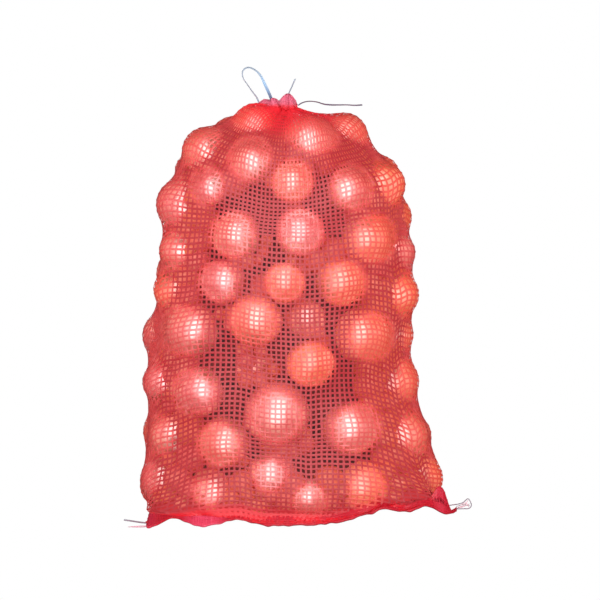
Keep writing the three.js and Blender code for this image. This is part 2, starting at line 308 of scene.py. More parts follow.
def gone_along(line):
    """Distance gone along a line at each of its points."""
    return np.r_[0, np.cumsum(np.linalg.norm(np.diff(line, axis=0), axis=1))]


def resample(line, shares):
    """Points at shares of a line's length."""
    gone = gone_along(line)
    return np.stack([np.interp(shares * gone[-1], gone, axis) for axis in line.T], 1)


def drift(across, along, seed, waves=6):
    """A smooth uneven value of about -1 to 1 over two coordinates."""
    draws = np.random.default_rng(seed)
    total = np.zeros(np.broadcast(across, along).shape)
    for _ in range(waves):
        a, b = draws.normal(size=2)
        total += np.sin(a * across + b * along + draws.uniform(0, 2 * math.pi))
    return total / math.sqrt(waves)


# Packing of the onions, as in the solids


def outline_at(height):
    """Middle across, half width and half depth of the sack at a height."""
    return [np.interp(height, OUTLINE[:, 0], OUTLINE[:, k]) for k in (1, 2, 3)]


def depth_inside(x, z, r):
    """Depth at which an onion touches the net, for its place across the section."""
    middle, half_width, half_depth = outline_at(z)
    across = min(abs(x - middle) / (half_width - r), 1)
    return (half_depth - r) * (1 - across ** SECTION_POWER) ** (1 / SECTION_POWER)


def side_spot(side, z, r):
    """Place across of an onion at the left or right edge, a little behind the section's middle."""
    middle, half_width, half_depth = outline_at(z)
    deep = (SIDE_DEPTH / (half_depth - r)) ** SECTION_POWER
    return middle + side * (half_width - r) * (1 - deep) ** (1 / SECTION_POWER)


def keep_inside(onion):
    """Pulls an onion back inside the section at its height, and off the floor."""
    middle, half_width, half_depth = outline_at(onion["z"])
    across = abs(onion["x"] - middle) / (half_width - onion["r"])
    deep = abs(onion["y"]) / (half_depth - onion["r"])
    reach = across ** SECTION_POWER + deep ** SECTION_POWER
    if reach > 1:
        pull = reach ** (-1 / SECTION_POWER)
        onion["x"] = middle + (onion["x"] - middle) * pull
        onion["y"] *= pull
    onion["z"] = max(onion["z"], onion["r"] + FLOOR_GAP)


def separate(a, b):
    """Pushes two crossing onions apart, the front ones mostly in depth."""
    away = [a[k] - b[k] for k in "xyz"]
    apart = math.sqrt(sum(value * value for value in away))
    overlap = a["r"] + b["r"] - apart
    if overlap <= 0:
        return
    scale = overlap / 2 / apart
    for onion, sign in ((a, 1), (b, -1)):
        onion["x"] += sign * away[0] * scale * onion["hold"]
        onion["y"] += sign * away[1] * scale
        onion["z"] += sign * away[2] * scale * onion["hold"]


@functools.lru_cache(maxsize=None)
def packed_onions():
    """Middles and radii of the onions against the net: front rows, back and sides."""
    state = PACK_SEED
    onions = []
    for row in FRONT_ROWS:
        for x, z, diameter, *back in row:
            r = diameter / 2
            y = (back[0] if back else 0) - depth_inside(x, z, r)
            onions.append({"x": x, "y": y, "z": z, "r": r, "hold": FRONT_HOLD})
    for front in list(onions):
        draws = []
        for _ in range(3):
            state = (state * DRAW_STEP) % DRAW_RANGE
            draws.append(state / DRAW_RANGE - 0.5)
        spread, shift, lift = draws
        middle, half_width, _ = outline_at(front["z"])
        across = abs(front["x"] - middle) / (half_width - front["r"])
        r = front["r"] * (1 + BACK_SPREAD * spread)
        x = 2 * middle - front["x"] + BACK_SHIFT * shift
        z = min(front["z"], BACK_TOP) + BACK_SHIFT * lift
        if across < BACK_REACH:
            onions.append({"x": x, "y": depth_inside(x, z, r), "z": z, "r": r, "hold": 1})
    for side, column in SIDE_COLUMNS.items():
        for z, diameter in column:
            r = diameter / 2
            x = side_spot(side, z, r)
            onions.append({"x": x, "y": SIDE_DEPTH, "z": z, "r": r, "hold": FRONT_HOLD})
    for _ in range(SETTLE_SWEEPS):
        for i, a in enumerate(onions):
            for b in onions[i + 1:]:
                separate(a, b)
        for onion in onions:
            keep_inside(onion)
    return np.array([[onion[k] for k in "xyzr"] for onion in onions])


# Hem, as in the solids


def hem_across(along):
    """Place across at a share of the way from the hem's left corner to its right one."""
    return HEM["left"] + (HEM["right"] - HEM["left"]) * along


def hem_foot(x):
    """Height of the hem above the floor without its waves."""
    foot = FLOOR_GAP - EAR["droop"] * smoothstep(x, EAR["root"], HEM["right"])
    for rise in HEM_RISES:
        foot = foot + rise["height"] * smoothstep(x, rise["start"], rise["end"])
    return foot


def hem_wave(x):
    """Height of the hem's waves in its lower edge."""
    total = np.zeros(np.shape(x))
    for wave in HEM_WAVES:
        turn = 2 * math.pi * (x - wave["crest"]) / wave["length"]
        share = smoothstep(wave["side"] * x, wave["start"], wave["full"])
        total = total + wave["height"] * (0.5 + 0.5 * np.cos(turn)) * share
    return total


def flap_share(x, flap):
    """How far into one of the hem's forward flaps a place is, from 0 to 1."""
    off = np.clip(np.abs(x - flap["x"]) / flap["half_width"], 0, 1)
    return 0.5 + 0.5 * np.cos(math.pi * off)


def hem_lean(x):
    """How far the hem's lower edge lies in front of its seam."""
    return HEM["lean"] + sum(flap["reach"] * flap_share(x, flap) for flap in HEM_FLAPS)


def hem_point(along, up):
    """A point of the hem: along from the left corner to the right, up from its lower edge."""
    x = hem_across(along)
    span = np.abs(2 * along - 1) ** HEM_PLAN["power"]
    ends = HEM_PLAN["left_y"] + (HEM_PLAN["right_y"] - HEM_PLAN["left_y"]) * along
    plan = ends - HEM_PLAN["bow"] * (1 - span) ** (1 / HEM_PLAN["power"])
    root = HEM["height"] + EAR["rise"] * smoothstep(x, EAR["start"], EAR["root"])
    tall = root + (EAR["tip"] - root) * smoothstep(x, EAR["root"], HEM["right"])
    wave = hem_wave(x)
    high = np.maximum(tall, wave + EAR["tip"])
    z = hem_foot(x) + wave + (high - wave) * up
    return np.stack([x, plan - hem_lean(x) * (1 - up), z], -1)


def seam_balls():
    """Small balls behind the seam, which draw the net out to the hem."""
    along = np.linspace(SEAM["start"], SEAM["end"], SEAM["balls"] + 1)
    at = hem_point(along, np.full(along.shape, SEAM["up"]))
    at[:, :2] += SEAM["inset"] * unit(np.array([SPINE["x"], 0]) - at[:, :2])
    return np.column_stack([at, np.full(len(at), SEAM["r"])])


# Net pulled tight over the onions

RING_STEPS = 4001


def even_turns(columns):
    """Turns round the section that space the net's columns evenly: left, front, right, back."""
    fine = np.linspace(0, 2 * math.pi, RING_STEPS)
    ring = np.column_stack([RAY_FAN["width"] * np.cos(fine), RAY_FAN["depth"] * np.sin(fine)])
    gone = gone_along(ring)
    return np.interp(np.arange(columns) / columns * gone[-1], gone, fine)


def net_rays(columns):
    """Start and direction of the ray that carries each net node, from the top row down."""
    turns = even_turns(columns)
    plan = np.column_stack([-RAY_FAN["width"] * np.cos(turns), -RAY_FAN["depth"] * np.sin(turns)])
    plan = unit(plan)
    rows = np.arange(TOP_ROWS + WALL_ROWS + UNDER_ROWS + 1)
    above = np.maximum(TOP_ROWS - rows, 0) / TOP_ROWS
    under = np.maximum(rows - TOP_ROWS - WALL_ROWS, 0) / UNDER_ROWS
    tilt = math.pi / 2 * (above - under)
    down = np.clip((rows - TOP_ROWS) / WALL_ROWS, 0, 1)
    start = np.zeros((len(rows), 1, 3))
    start[:, 0, 0] = SPINE["x"]
    start[:, 0, 2] = SPINE["high"] + (SPINE["low"] - SPINE["high"]) * down
    way = np.empty((len(rows), columns, 3))
    way[..., :2] = plan[None] * np.cos(tilt)[:, None, None]
    way[..., 2] = np.sin(tilt)[:, None]
    return start, way


def ray_limits(start, way):
    """Least and most distance of each net node along its ray, from the onions and the floor."""
    neck = [[NECK[k] for k in "xyzr"]]
    balls = np.vstack([packed_onions(), seam_balls(), neck])
    least = np.zeros(way.shape[:2])
    for *middle, r in balls:
        to = np.array(middle) - start
        along = (to * way).sum(-1)
        miss = (to * to).sum(-1) - along * along
        inside = np.maximum((r + NET_LIFT) ** 2 - miss, 0)
        least = np.maximum(least, np.where(inside > 0, along + np.sqrt(inside), 0))
    down = np.minimum(way[..., 2], -1e-6)
    floor = np.where(way[..., 2] < 0, start[..., 2] / -down, np.inf)
    landing = start + way * np.where(np.isfinite(floor), floor, 0)[..., None]
    off_x = (landing[..., 0] - BASE["x"]) / BASE["half_width"]
    off_y = landing[..., 1] / BASE["half_depth"]
    on_base = np.isfinite(floor) & (off_x * off_x + off_y * off_y < 1)
    return np.where(on_base, np.maximum(least, floor), np.minimum(least, floor)), floor


@functools.lru_cache(maxsize=None)
def net_surface(columns):
    """The net's surface as rows of points, from the neck down to the middle of the base."""
    start, way = net_rays(columns)
    least, most = ray_limits(start, way)
    reach = np.minimum(np.maximum(least, RAY_FAN["depth"]), most)
    for _ in range(TIGHTEN_STEPS):
        at = start + way * reach[..., None]
        mean = np.roll(at, 1, 1) + np.roll(at, -1, 1)
        mean[1:-1] = (mean[1:-1] + at[:-2] + at[2:]) / 4
        mean[0] = at[1].mean(0)
        mean[-1] = at[-2].mean(0)
        pulled = ((mean - start) * way).sum(-1) - NET_DIP
        reach = np.clip(reach + TIGHTEN_PACE * (pulled - reach), least, most)
    return start + way * reach[..., None]


# Strands laid over that surface, from the seam to the neck
NECK_RING = 11
SEAM_STEPS = 1001
SEAM_UP = (0.35, 0.9)
SEAM_LIFT = 2
GRIP = 6
BASE_EDGE = 3
REAR_DROP = 4
HIDDEN_ROWS = 9
HIDDEN_SPAN = 80
FRONT_SPAN = (-0.25, 0.15)
FOOT_REACH = (4, 26)
FLATTEN_STEPS = 120
FLAT_FROM = (20, 110)

# Pleats towards the neck, as count, size and phase, and the loose mesh
PLEATS = ((13, 0.62, 0.4), (21, 0.38, 2.1))
PLEAT_HEIGHT = 3.4
PLEAT_REACH = (12, 85)
MESH = 6
HELD_ROWS = 6
SLACK = 0.6
SLACK_TURNS = 5
SLACK_WIDTH = 3
SLACK_ROWS = {"level": 9, "side": 11}
SLACK_SEEDS = {"level": 11, "side": 12}
UNEVEN = 0.14


def flattened(surface):
    """The net's surface without its bumps, which sets the spacing of its rows."""
    for _ in range(FLATTEN_STEPS):
        surface = np.vstack([
            surface[:1], (surface[:-2] + 2 * surface[1:-1] + surface[2:]) / 4, surface[-1:],
        ])
        surface = (np.roll(surface, 1, 1) + 2 * surface + np.roll(surface, -1, 1)) / 4
    return surface


def seam_line(columns):
    """Where each column of the net is sewn into the hem, the back ones reaching it underneath."""
    fine = np.linspace(SEAM["start"], SEAM["end"], SEAM_STEPS)
    line = hem_point(fine, np.ones(fine.shape))
    gone = gone_along(line[:, :2])
    half = columns / 2
    share = np.abs((np.arange(columns) + half) % columns - half) / half
    along = np.interp(share * gone[-1], gone, fine)
    up = SEAM_UP[0] + (SEAM_UP[1] - SEAM_UP[0]) * flap_share(hem_across(along), HEM_FLAPS[0])
    return hem_point(along, up) - [0, SEAM_LIFT, 0]


def column_path(surface, flat, seam, front):
    """One column's line from its seam to the neck, the same line without bumps, and how much of it
    lies under the base."""
    up, smooth = surface[::-1], flat[::-1]
    rear = max(BASE_EDGE, seam[2] - REAR_DROP)
    foot = rear + (seam[2] + GRIP - rear) * front
    low = int(np.argmax(up[:, 2] > foot))
    share = (foot - up[low - 1, 2]) / (up[low, 2] - up[low - 1, 2])
    off_axis = np.hypot(up[:, 0] - NECK["x"], up[:, 1] - NECK["y"])
    shut = np.nonzero((off_axis < NECK_RING) & (up[:, 2] > NECK["z"]))[0]
    high = int(shut[0]) if len(shut) else len(up) - 1
    paths = []
    for rows in (up, smooth):
        edge = rows[low - 1] + (rows[low] - rows[low - 1]) * share
        paths.append(np.vstack([seam, edge, rows[low:high + 1]]))
    line, even = paths
    even = line + (even - line) * smoothstep(line[:, 2:], *FLAT_FROM)
    hidden = np.linalg.norm(even[1] - even[0]) * (1 - front)
    return line, even, hidden


@functools.lru_cache(maxsize=None)
def net_grid(columns, rows):
    """Crossings of the net, row by row from the seam to the neck, their outward normals, and how
    far they are gathered at the foot and at the neck."""
    surface = net_surface(columns)
    flat = flattened(surface)
    seams = seam_line(columns)
    turns = even_turns(columns)
    front = smoothstep(np.sin(turns), *FRONT_SPAN)
    grid = np.empty((rows + 1, columns, 3))
    for column in range(columns):
        line, even, hidden = column_path(
            surface[:, column], flat[:, column], seams[column], front[column],
        )
        gone = gone_along(even)
        first = HIDDEN_ROWS * smoothstep(hidden, 0, HIDDEN_SPAN)
        along = np.interp(np.arange(rows + 1), [0, first + 1e-6, rows], [0, hidden, gone[-1]])
        place = np.interp(along, gone, np.arange(len(gone)))
        for axis in range(3):
            grid[:, column, axis] = np.interp(place, np.arange(len(gone)), line[:, axis])
    normals = grid_normals(grid)
    gone = np.linalg.norm(np.diff(grid, axis=0), axis=-1)
    from_foot = np.vstack([np.zeros(columns), np.cumsum(gone, 0)])
    foot = (1 - smoothstep(from_foot, *FOOT_REACH)) * front
    grid, normals, neck = loosen(grid, normals, turns)
    return grid, normals, foot, np.broadcast_to(neck, foot.shape)


def grid_normals(grid):
    """Outward normals of a net grid that closes round the sack."""
    round_it = np.roll(grid, -1, 1) - np.roll(grid, 1, 1)
    upward = np.gradient(grid, axis=0)
    return unit(np.cross(round_it, upward))


def loosen(grid, normals, turns):
    """Folds the net into pleats towards the neck and makes its mesh slightly uneven."""
    rows = len(grid) - 1
    row = np.arange(rows + 1)[:, None]
    gone = np.linalg.norm(np.diff(grid, axis=0), axis=-1).mean(1)
    to_neck = np.r_[np.cumsum(gone[::-1])[::-1], 0][:, None]
    gather = 1 - smoothstep(to_neck, *PLEAT_REACH)
    fold = sum(size * np.cos(count * turns + phase) for count, size, phase in PLEATS)
    grid = grid + normals * (PLEAT_HEIGHT * gather * (0.5 + 0.5 * fold))[..., None]
    round_it = unit(np.roll(grid, -1, 1) - np.roll(grid, 1, 1))
    upward = unit(np.gradient(grid, axis=0))
    spacing = np.linalg.norm(np.roll(grid, -1, 1) - grid, axis=-1)
    held = smoothstep(row, 0, HELD_ROWS), smoothstep(rows - row, 0, HELD_ROWS)
    free = np.clip(spacing / MESH, 0, 1) * held[0] * held[1]
    angle = turns[None] * SLACK_TURNS
    draws = np.random.default_rng(PACK_SEED)
    moves = {}
    for way, wave in (("level", np.cos(angle)), ("side", np.sin(angle))):
        loose = drift(wave * SLACK_WIDTH, row / SLACK_ROWS[way], SLACK_SEEDS[way])
        moves[way] = (SLACK * loose + UNEVEN * draws.normal(size=free.shape)) * free
    grid = grid + upward * moves["level"][..., None] + round_it * moves["side"][..., None]
    return grid, grid_normals(grid), gather


# Onions behind the gaps

GAP_COLUMNS = 80
GAP_ROWS = slice(12, 116, 2)
GAP_FOOT = 8
GAP_COUNT = 420
GAP_SIZES = (1, 0.75, 0.55)
GAP_OVERLAP = 0.5
GAP_CLEAR = 0.8
GAP_LEAST = 8
DEPTH_CAP = 200
EDGE_FACING = 0.5
EDGE_FOOT = 42
BACK_EASE = 12
BACK_SPAN = (20, 60)

# A gap at the sack's edge or foot, and one that faces forward or back: how deep it may be, and the
# radius, the depth and the painted shade of an onion that fills it
EDGE_GAP = {"limit": 8, "radii": (15, 24), "depths": (3, 6), "dim": 0.45}
OPEN_GAP = {"limit": 18, "radii": (21, 29), "depths": (10, 15), "dim": 0.5}

# Gaps in the front that stay deep and dark: clear of the onions, and in clusters
DEEP_ACROSS = (-160, 130, 5)
DEEP_UP = (40, 450, 5)
DEEP_EDGE = 26
DEEP_LEAST = 2
DEEP_SPAN = 26
DEEP_CHANCE = -0.3
DEEP_REACH = 5
DEEP_CLEAR = 1
SIGHT_DROP = 3


def deep_gaps():
    """Places across and up the front where nothing fills the gap between the onions."""
    onions = packed_onions()
    front = onions[onions[:, 1] < 0]
    x, z = np.meshgrid(np.arange(*DEEP_ACROSS), np.arange(*DEEP_UP))
    places = np.column_stack([x.ravel(), z.ravel()])
    off = np.linalg.norm(places[:, None] - front[:, [0, 2]] - [0, SIGHT_DROP], axis=-1) - front[:, 3]
    middle, half_width, _ = outline_at(places[:, 1])
    inside = np.abs(places[:, 0] - middle) < half_width - DEEP_EDGE
    chance = drift(places[:, 0] / DEEP_SPAN, places[:, 1] / DEEP_SPAN, PACK_SEED)
    return places[inside & (off.min(1) > DEEP_LEAST) & (chance > DEEP_CHANCE)]


def depth_to(spots, inward, onions):
    """How deep below each spot the first onion lies along its inward direction."""
    first = np.full(len(spots), np.inf)
    for *middle, r in onions:
        to = np.array(middle) - spots
        along = (to * inward).sum(-1)
        inside = r * r - ((to * to).sum(-1) - along * along)
        hit = along - np.sqrt(np.maximum(inside, 0))
        first = np.where((inside > 0) & (along > 0), np.minimum(first, hit), first)
    return first


def gap_onions():
    """Onions close behind the gaps that the outer ones leave, the deepest gaps first, and how much
    painted shade darkens each one."""
    onions = packed_onions()
    settings = bpy.context.scene.net_sack_net
    crossings = net_grid(settings.columns, settings.rows)[0].reshape(-1, 3)
    _, way = net_rays(GAP_COLUMNS)
    spots = net_surface(GAP_COLUMNS)[GAP_ROWS].reshape(-1, 3)
    inward = -way[GAP_ROWS].reshape(-1, 3)
    depth = np.minimum(depth_to(spots, inward, onions), DEPTH_CAP)
    dark_places = deep_gaps()
    off = np.linalg.norm(spots[:, None, [0, 2]] - dark_places[None], axis=-1).min(1)
    depth[(off < DEEP_REACH) & (spots[:, 1] < 0)] = 0
    depth[spots[:, 2] < GAP_FOOT] = 0
    edge = (np.abs(inward[:, 1]) < EDGE_FACING) | (spots[:, 2] < EDGE_FOOT)
    limit = np.where(edge, EDGE_GAP["limit"], OPEN_GAP["limit"])
    limit = limit + BACK_EASE * smoothstep(spots[:, 1], *BACK_SPAN)
    draws = np.random.default_rng(PACK_SEED + 3)
    found = np.empty((0, 5))
    while (depth - limit).max() > 0 and len(found) < GAP_COUNT:
        spot = (depth - limit).argmax()
        depth[spot] = 0
        gap = EDGE_GAP if edge[spot] else OPEN_GAP
        r = draws.uniform(*gap["radii"])
        below = draws.uniform(*gap["depths"])
        others = np.vstack([onions, found[:, :4]])
        for size in GAP_SIZES:
            middle = spots[spot] + inward[spot] * (r * size + below)
            middle[2] = max(middle[2], r * size + FLOOR_GAP)
            fits = min(r * size, np.linalg.norm(crossings - middle, axis=1).min() - GAP_CLEAR)
            if middle[1] < 0 and not edge[spot]:
                sight = middle[[0, 2]] + [0, SIGHT_DROP]
                fits = min(fits, np.linalg.norm(dark_places - sight, axis=1).min() - DEEP_CLEAR)
            apart = np.linalg.norm(others[:, :3] - middle, axis=1) / (others[:, 3] + fits)
            if apart.min() > GAP_OVERLAP and fits > GAP_LEAST:
                found = np.vstack([found, np.r_[middle, fits, gap["dim"]]])
                depth = np.minimum(depth, depth_to(spots, inward, found[-1:, :4]))
                break
    return found


# Meshes

# Points to a strand's section, its sides in the flat map, and how far apart strands' fibres lie
CORNERS = 4
MAP_EDGES = (0.1, 0.9)
FIBRE_SHIFT = 3.7


def grid_faces(rows, columns, closed=True):
    """Four-sided faces over rows of points, which may close round into rings."""
    across = np.arange(columns if closed else columns - 1)
    i, j = np.meshgrid(np.arange(rows - 1), across, indexing="ij")
    after = (j + 1) % columns
    low, high = i * columns, (i + 1) * columns
    return np.stack([low + j, low + after, high + after, high + j], -1).reshape(-1, 4)


def tile_corners(left, right, low, high):
    """Corners of each face in a flat map, from its sides."""
    return np.stack([left, low, right, low, right, high, left, high], -1).reshape(-1, 4, 2)


def ribbons(paths, normals, widths, thickness, closed):
    """Flat strands with four points to a section, as points, faces, face maps and fibre places."""
    strands, steps = paths.shape[:2]
    if closed:
        along = np.roll(paths, -1, 1) - np.roll(paths, 1, 1)
    else:
        along = np.gradient(paths, axis=1)
    along = unit(along)
    across = unit(np.cross(along, normals))
    half = across * np.broadcast_to(widths, paths.shape[:2])[..., None] / 2
    rise = np.cross(across, along) * thickness / 2
    section = np.stack([paths + rise, paths + half, paths - rise, paths - half], 2)
    spans = steps if closed else steps - 1
    s, i, j = np.meshgrid(np.arange(strands), np.arange(spans), np.arange(CORNERS), indexing="ij")

    def point(step, corner):
        return (s * steps + step % steps) * CORNERS + corner % CORNERS

    faces = np.stack([point(i, j), point(i, j + 1), point(i + 1, j + 1), point(i + 1, j)], -1)
    left, right = [(CORNERS * s + j + side) / (CORNERS * strands) for side in MAP_EDGES]
    maps = tile_corners(left, right, i / spans, (i + 1) / spans)
    faces = faces.reshape(-1, 4)
    if not closed:
        ring = np.arange(CORNERS)
        first = np.arange(strands)[:, None] * steps * CORNERS
        caps = np.vstack([first + ring[::-1], first + (steps - 1) * CORNERS + ring])
        faces = np.vstack([faces, caps])
        maps = np.concatenate([maps, np.zeros((len(caps), 4, 2))])
    gone = np.r_[0, np.cumsum(np.linalg.norm(np.diff(paths, axis=1), axis=-1).mean(0))]
    fibre = np.zeros((strands, steps, CORNERS, 3))
    fibre[..., 0] = np.array([0, 1, 0, -1])
    fibre[..., 1] = gone[None, :steps, None]
    fibre[..., 2] = np.arange(strands)[:, None, None] * FIBRE_SHIFT
    return section.reshape(-1, 3), faces, maps, fibre.reshape(-1, 3)


def make_piece(name, points, faces, material, slot=None, nodes=("net_sack",)):
    """A smooth mesh piece from points in millimetres, riding on the sack's one body."""
    mesh = bpy.data.meshes.new(name)
    mesh.from_pydata((np.asarray(points) * MM).tolist(), [], [list(face) for face in faces])
    mesh.validate()
    mesh.polygons.foreach_set("use_smooth", np.ones(len(mesh.polygons), bool))
    mesh.materials.append(material)
    piece = bpy.data.objects.new(name, mesh)
    bpy.context.scene.collection.objects.link(piece)
    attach(piece, "root")
    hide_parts(*nodes)
    return piece


def give_values(piece, name, values):
    """Stores a value or a vector for each point of a piece, for its material to read."""
    kind = "FLOAT" if np.ndim(values) == 1 else "FLOAT_VECTOR"
    layer = piece.data.attributes.new(name, kind, "POINT")
    key = "value" if kind == "FLOAT" else "vector"
    layer.data.foreach_set(key, np.asarray(values, np.float32).ravel())


def give_map(piece, maps):
    """Stores a flat map of a piece's faces, for its finish to be baked through."""
    layer = piece.data.uv_layers.new(name="OFBake", do_init=False)
    layer.uv.foreach_set("vector", np.asarray(maps, np.float32).ravel())


def crease_edges(piece):
    """Keeps the two long edges of flat strands sharp."""
    mesh = piece.data
    ends = np.empty(len(mesh.edges) * 2, int)
    mesh.edges.foreach_get("vertices", ends)
    corner = ends.reshape(-1, 2) % CORNERS
    sharp = (corner[:, 0] == corner[:, 1]) & (corner[:, 0] % 2 == 1)
    layer = mesh.attributes.new("sharp_edge", "BOOLEAN", "EDGE")
    layer.data.foreach_set("value", sharp)


def make_strands(name, parts, material, slot, nodes=("net_sack",), **tints):
    """A piece of flat strands from ribbons, with its fibre places, its tints and its flat map."""
    points, faces, maps, fibre = parts
    piece = make_piece(name, points, faces, material, slot, nodes)
    give_values(piece, "fibre", fibre)
    for key, values in tints.items():
        give_values(piece, key, np.repeat(np.ravel(values), CORNERS))
    give_map(piece, maps)
    crease_edges(piece)
    return piece


def make_joined(name, parts, material):
    """One piece from several sets of points, faces and fibre places, and all its points."""
    points, faces, fibres = [], [], []
    count = 0
    for part_points, part_faces, *_, part_fibre in parts:
        points.append(part_points)
        faces += [[corner + count for corner in face] for face in part_faces]
        fibres.append(part_fibre)
        count += len(part_points)
    points = np.vstack(points)
    piece = make_piece(name, points, faces, material, "net")
    give_values(piece, "fibre", np.vstack(fibres))
    return piece, points


# Materials

# Drawn tape: stretch of its noise by axis, and what it gives from one level to another
LENGTH_STRETCH = (0.35, 0.045, 1.0)
STREAK_STRETCH = (2.6, 0.12, 1.0)
PALE_LENGTHS = (0.5, 0.78)
DEEP_LENGTHS = (0.46, 0.24)
PALE_STREAKS = (0.56, 0.82, 0.0, 0.35)
DEEP_STREAKS = (0.42, 0.2, 0.0, 0.4)
STREAK_ROUGHNESS = (0.2, 0.8, 0.26, 0.42)
TAPE_RELIEF = {"Strength": 0.25, "Distance": 0.0002}
NET_SPECULAR = 0.28
TRIM_SPECULAR = 0.3
DRAWSTRING_SPECULAR = 0.5
NET_GLOSS = 0.5
NET_COAT = {"Coat IOR": 2.4, "Coat Roughness": 0.36}

# Onion skin, in the same way
VEIN_STRETCH = (9.0, 9.0, 0.7)
PATCH_STRETCH = (1.3, 1.3, 0.9)
SPECK_STRETCH = (6.0, 6.0, 5.0)
BARE_PATCHES = (0.5, 0.68, 0.0, 0.75)
DARK_VEINS = (0.54, 0.74, 0.0, 0.6)
DARK_SPECKS = (0.62, 0.76, 0.0, 0.5)
HUSK_ENDS = (0.82, 1.0, 0.0, 0.85)
DULL_PATCHES = (0.3, 0.7)
DULL_SPREAD = (-0.1, 0.12)
ROSY_GLOSS = (0.1, 0.6, 0.3, 1.0)
SKIN_SPECULAR = {True: 0.8, False: 0.2}
SKIN_COAT = {"Coat IOR": 2.9, "Coat Roughness": 0.33}
SKIN_RELIEF = {"Strength": 0.4, "Distance": 0.0006}

# Inside of the pack, painted dark as shade and lighter where it lies close under the net, and the floor
CORE_BLOTCH = {"scale": 60.0, "detail": 3.0}
CORE_BLOTCH_SPAN = (0.35, 0.65)
CORE_COLOURS = (linear(46, 8, 8), linear(92, 26, 20))
CORE_EDGE = linear(196, 68, 64)
CORE_FOOT = linear(184, 34, 40)
CORE_ROUGHNESS = 0.9
FLOOR_COLOURS = (linear(206, 206, 206), linear(212, 212, 212))
FLOOR_ROUGHNESS = 0.8
FLOOR_PATCHES = 3.0


def add_node(tree, kind, inputs=None, **settings):
    """A shader node with its settings, and its inputs set to values or linked to sockets."""
    node = tree.nodes.new(kind)
    for key, value in settings.items():
        setattr(node, key, value)
    for key, value in (inputs or {}).items():
        if isinstance(value, bpy.types.NodeSocket):
            tree.links.new(value, node.inputs[key])
        else:
            node.inputs[key].default_value = value
    return node


def mix_colours(tree, factor, first, second):
    """A colour between two, by a factor."""
    node = add_node(tree, "ShaderNodeMix", data_type="RGBA")
    for socket, value in ((node.inputs[0], factor), (node.inputs[6], first), (node.inputs[7], second)):
        if isinstance(value, bpy.types.NodeSocket):
            tree.links.new(value, socket)
        elif isinstance(value, (int, float)):
            socket.default_value = value
        else:
            socket.default_value = (*value, 1)
    return node.outputs[2]


def ramp(tree, value, low, high, to_low=0.0, to_high=1.0):
    """A value moved smoothly from one range to another."""
    node = add_node(
        tree, "ShaderNodeMapRange", interpolation_type="SMOOTHSTEP",
        inputs={"Value": value, "From Min": low, "From Max": high, "To Min": to_low, "To Max": to_high},
    )
    return node.outputs[0]


def noise(tree, vector, scale=1.0, detail=2.0, roughness=0.5):
    """An uneven value from 0 to 1 at a place."""
    inputs = {"Vector": vector, "Scale": scale, "Detail": detail, "Roughness": roughness}
    return add_node(tree, "ShaderNodeTexNoise", inputs).outputs["Fac"]


def stretched(tree, vector, scale):
    """A place scaled by axis."""
    return add_node(tree, "ShaderNodeVectorMath", {0: vector, 1: scale}, operation="MULTIPLY").outputs[0]


def attribute(tree, name, output):
    """A value that a mesh stores at its points."""
    return add_node(tree, "ShaderNodeAttribute", attribute_name=name).outputs[output]


@functools.lru_cache(maxsize=None)
def drawn_tape_group():
    """Finish of drawn plastic tape: streaks along it, paler and deeper lengths, and fine ridges."""
    tree = bpy.data.node_groups.new("Drawn tape", "ShaderNodeTree")
    face = tree.interface
    for name, kind in (("Fibre", "Vector"), ("Colour", "Color"), ("Pale", "Color"), ("Deep", "Color")):
        face.new_socket(name, in_out="INPUT", socket_type=f"NodeSocket{kind}")
    for name, kind in (("Colour", "Color"), ("Roughness", "Float"), ("Height", "Float")):
        face.new_socket(name, in_out="OUTPUT", socket_type=f"NodeSocket{kind}")
    given = tree.nodes.new("NodeGroupInput").outputs
    lengths = noise(tree, stretched(tree, given["Fibre"], LENGTH_STRETCH))
    streaks = noise(tree, stretched(tree, given["Fibre"], STREAK_STRETCH), detail=3.0, roughness=0.6)
    shown = given["Colour"]
    for value, span, tint in (
        (lengths, PALE_LENGTHS, "Pale"), (lengths, DEEP_LENGTHS, "Deep"),
        (streaks, PALE_STREAKS, "Pale"), (streaks, DEEP_STREAKS, "Deep"),
    ):
        shown = mix_colours(tree, ramp(tree, value, *span), shown, given[tint])
    gloss = ramp(tree, streaks, *STREAK_ROUGHNESS)
    made = tree.nodes.new("NodeGroupOutput").inputs
    for name, socket in (("Colour", shown), ("Roughness", gloss), ("Height", streaks)):
        tree.links.new(socket, made[name])
    return tree


def new_surface(name):
    """An empty material with one shader on its output."""
    material = bpy.data.materials.new(name)
    material.use_nodes = True
    tree = material.node_tree
    tree.nodes.clear()
    shader = add_node(tree, "ShaderNodeBsdfPrincipled")
    output = add_node(tree, "ShaderNodeOutputMaterial")
    tree.links.new(shader.outputs["BSDF"], output.inputs["Surface"])
    return material, tree, shader


def raise_surface(tree, shader, height, relief):
    """Fine relief of a surface from a height that varies over it."""
    bump = add_node(tree, "ShaderNodeBump", {"Height": height, **relief})
    tree.links.new(bump.outputs["Normal"], shader.inputs["Normal"])


def set_inputs(shader, values):
    """Sets plain values of a shader."""
    for key, value in values.items():
        shader.inputs[key].default_value = value


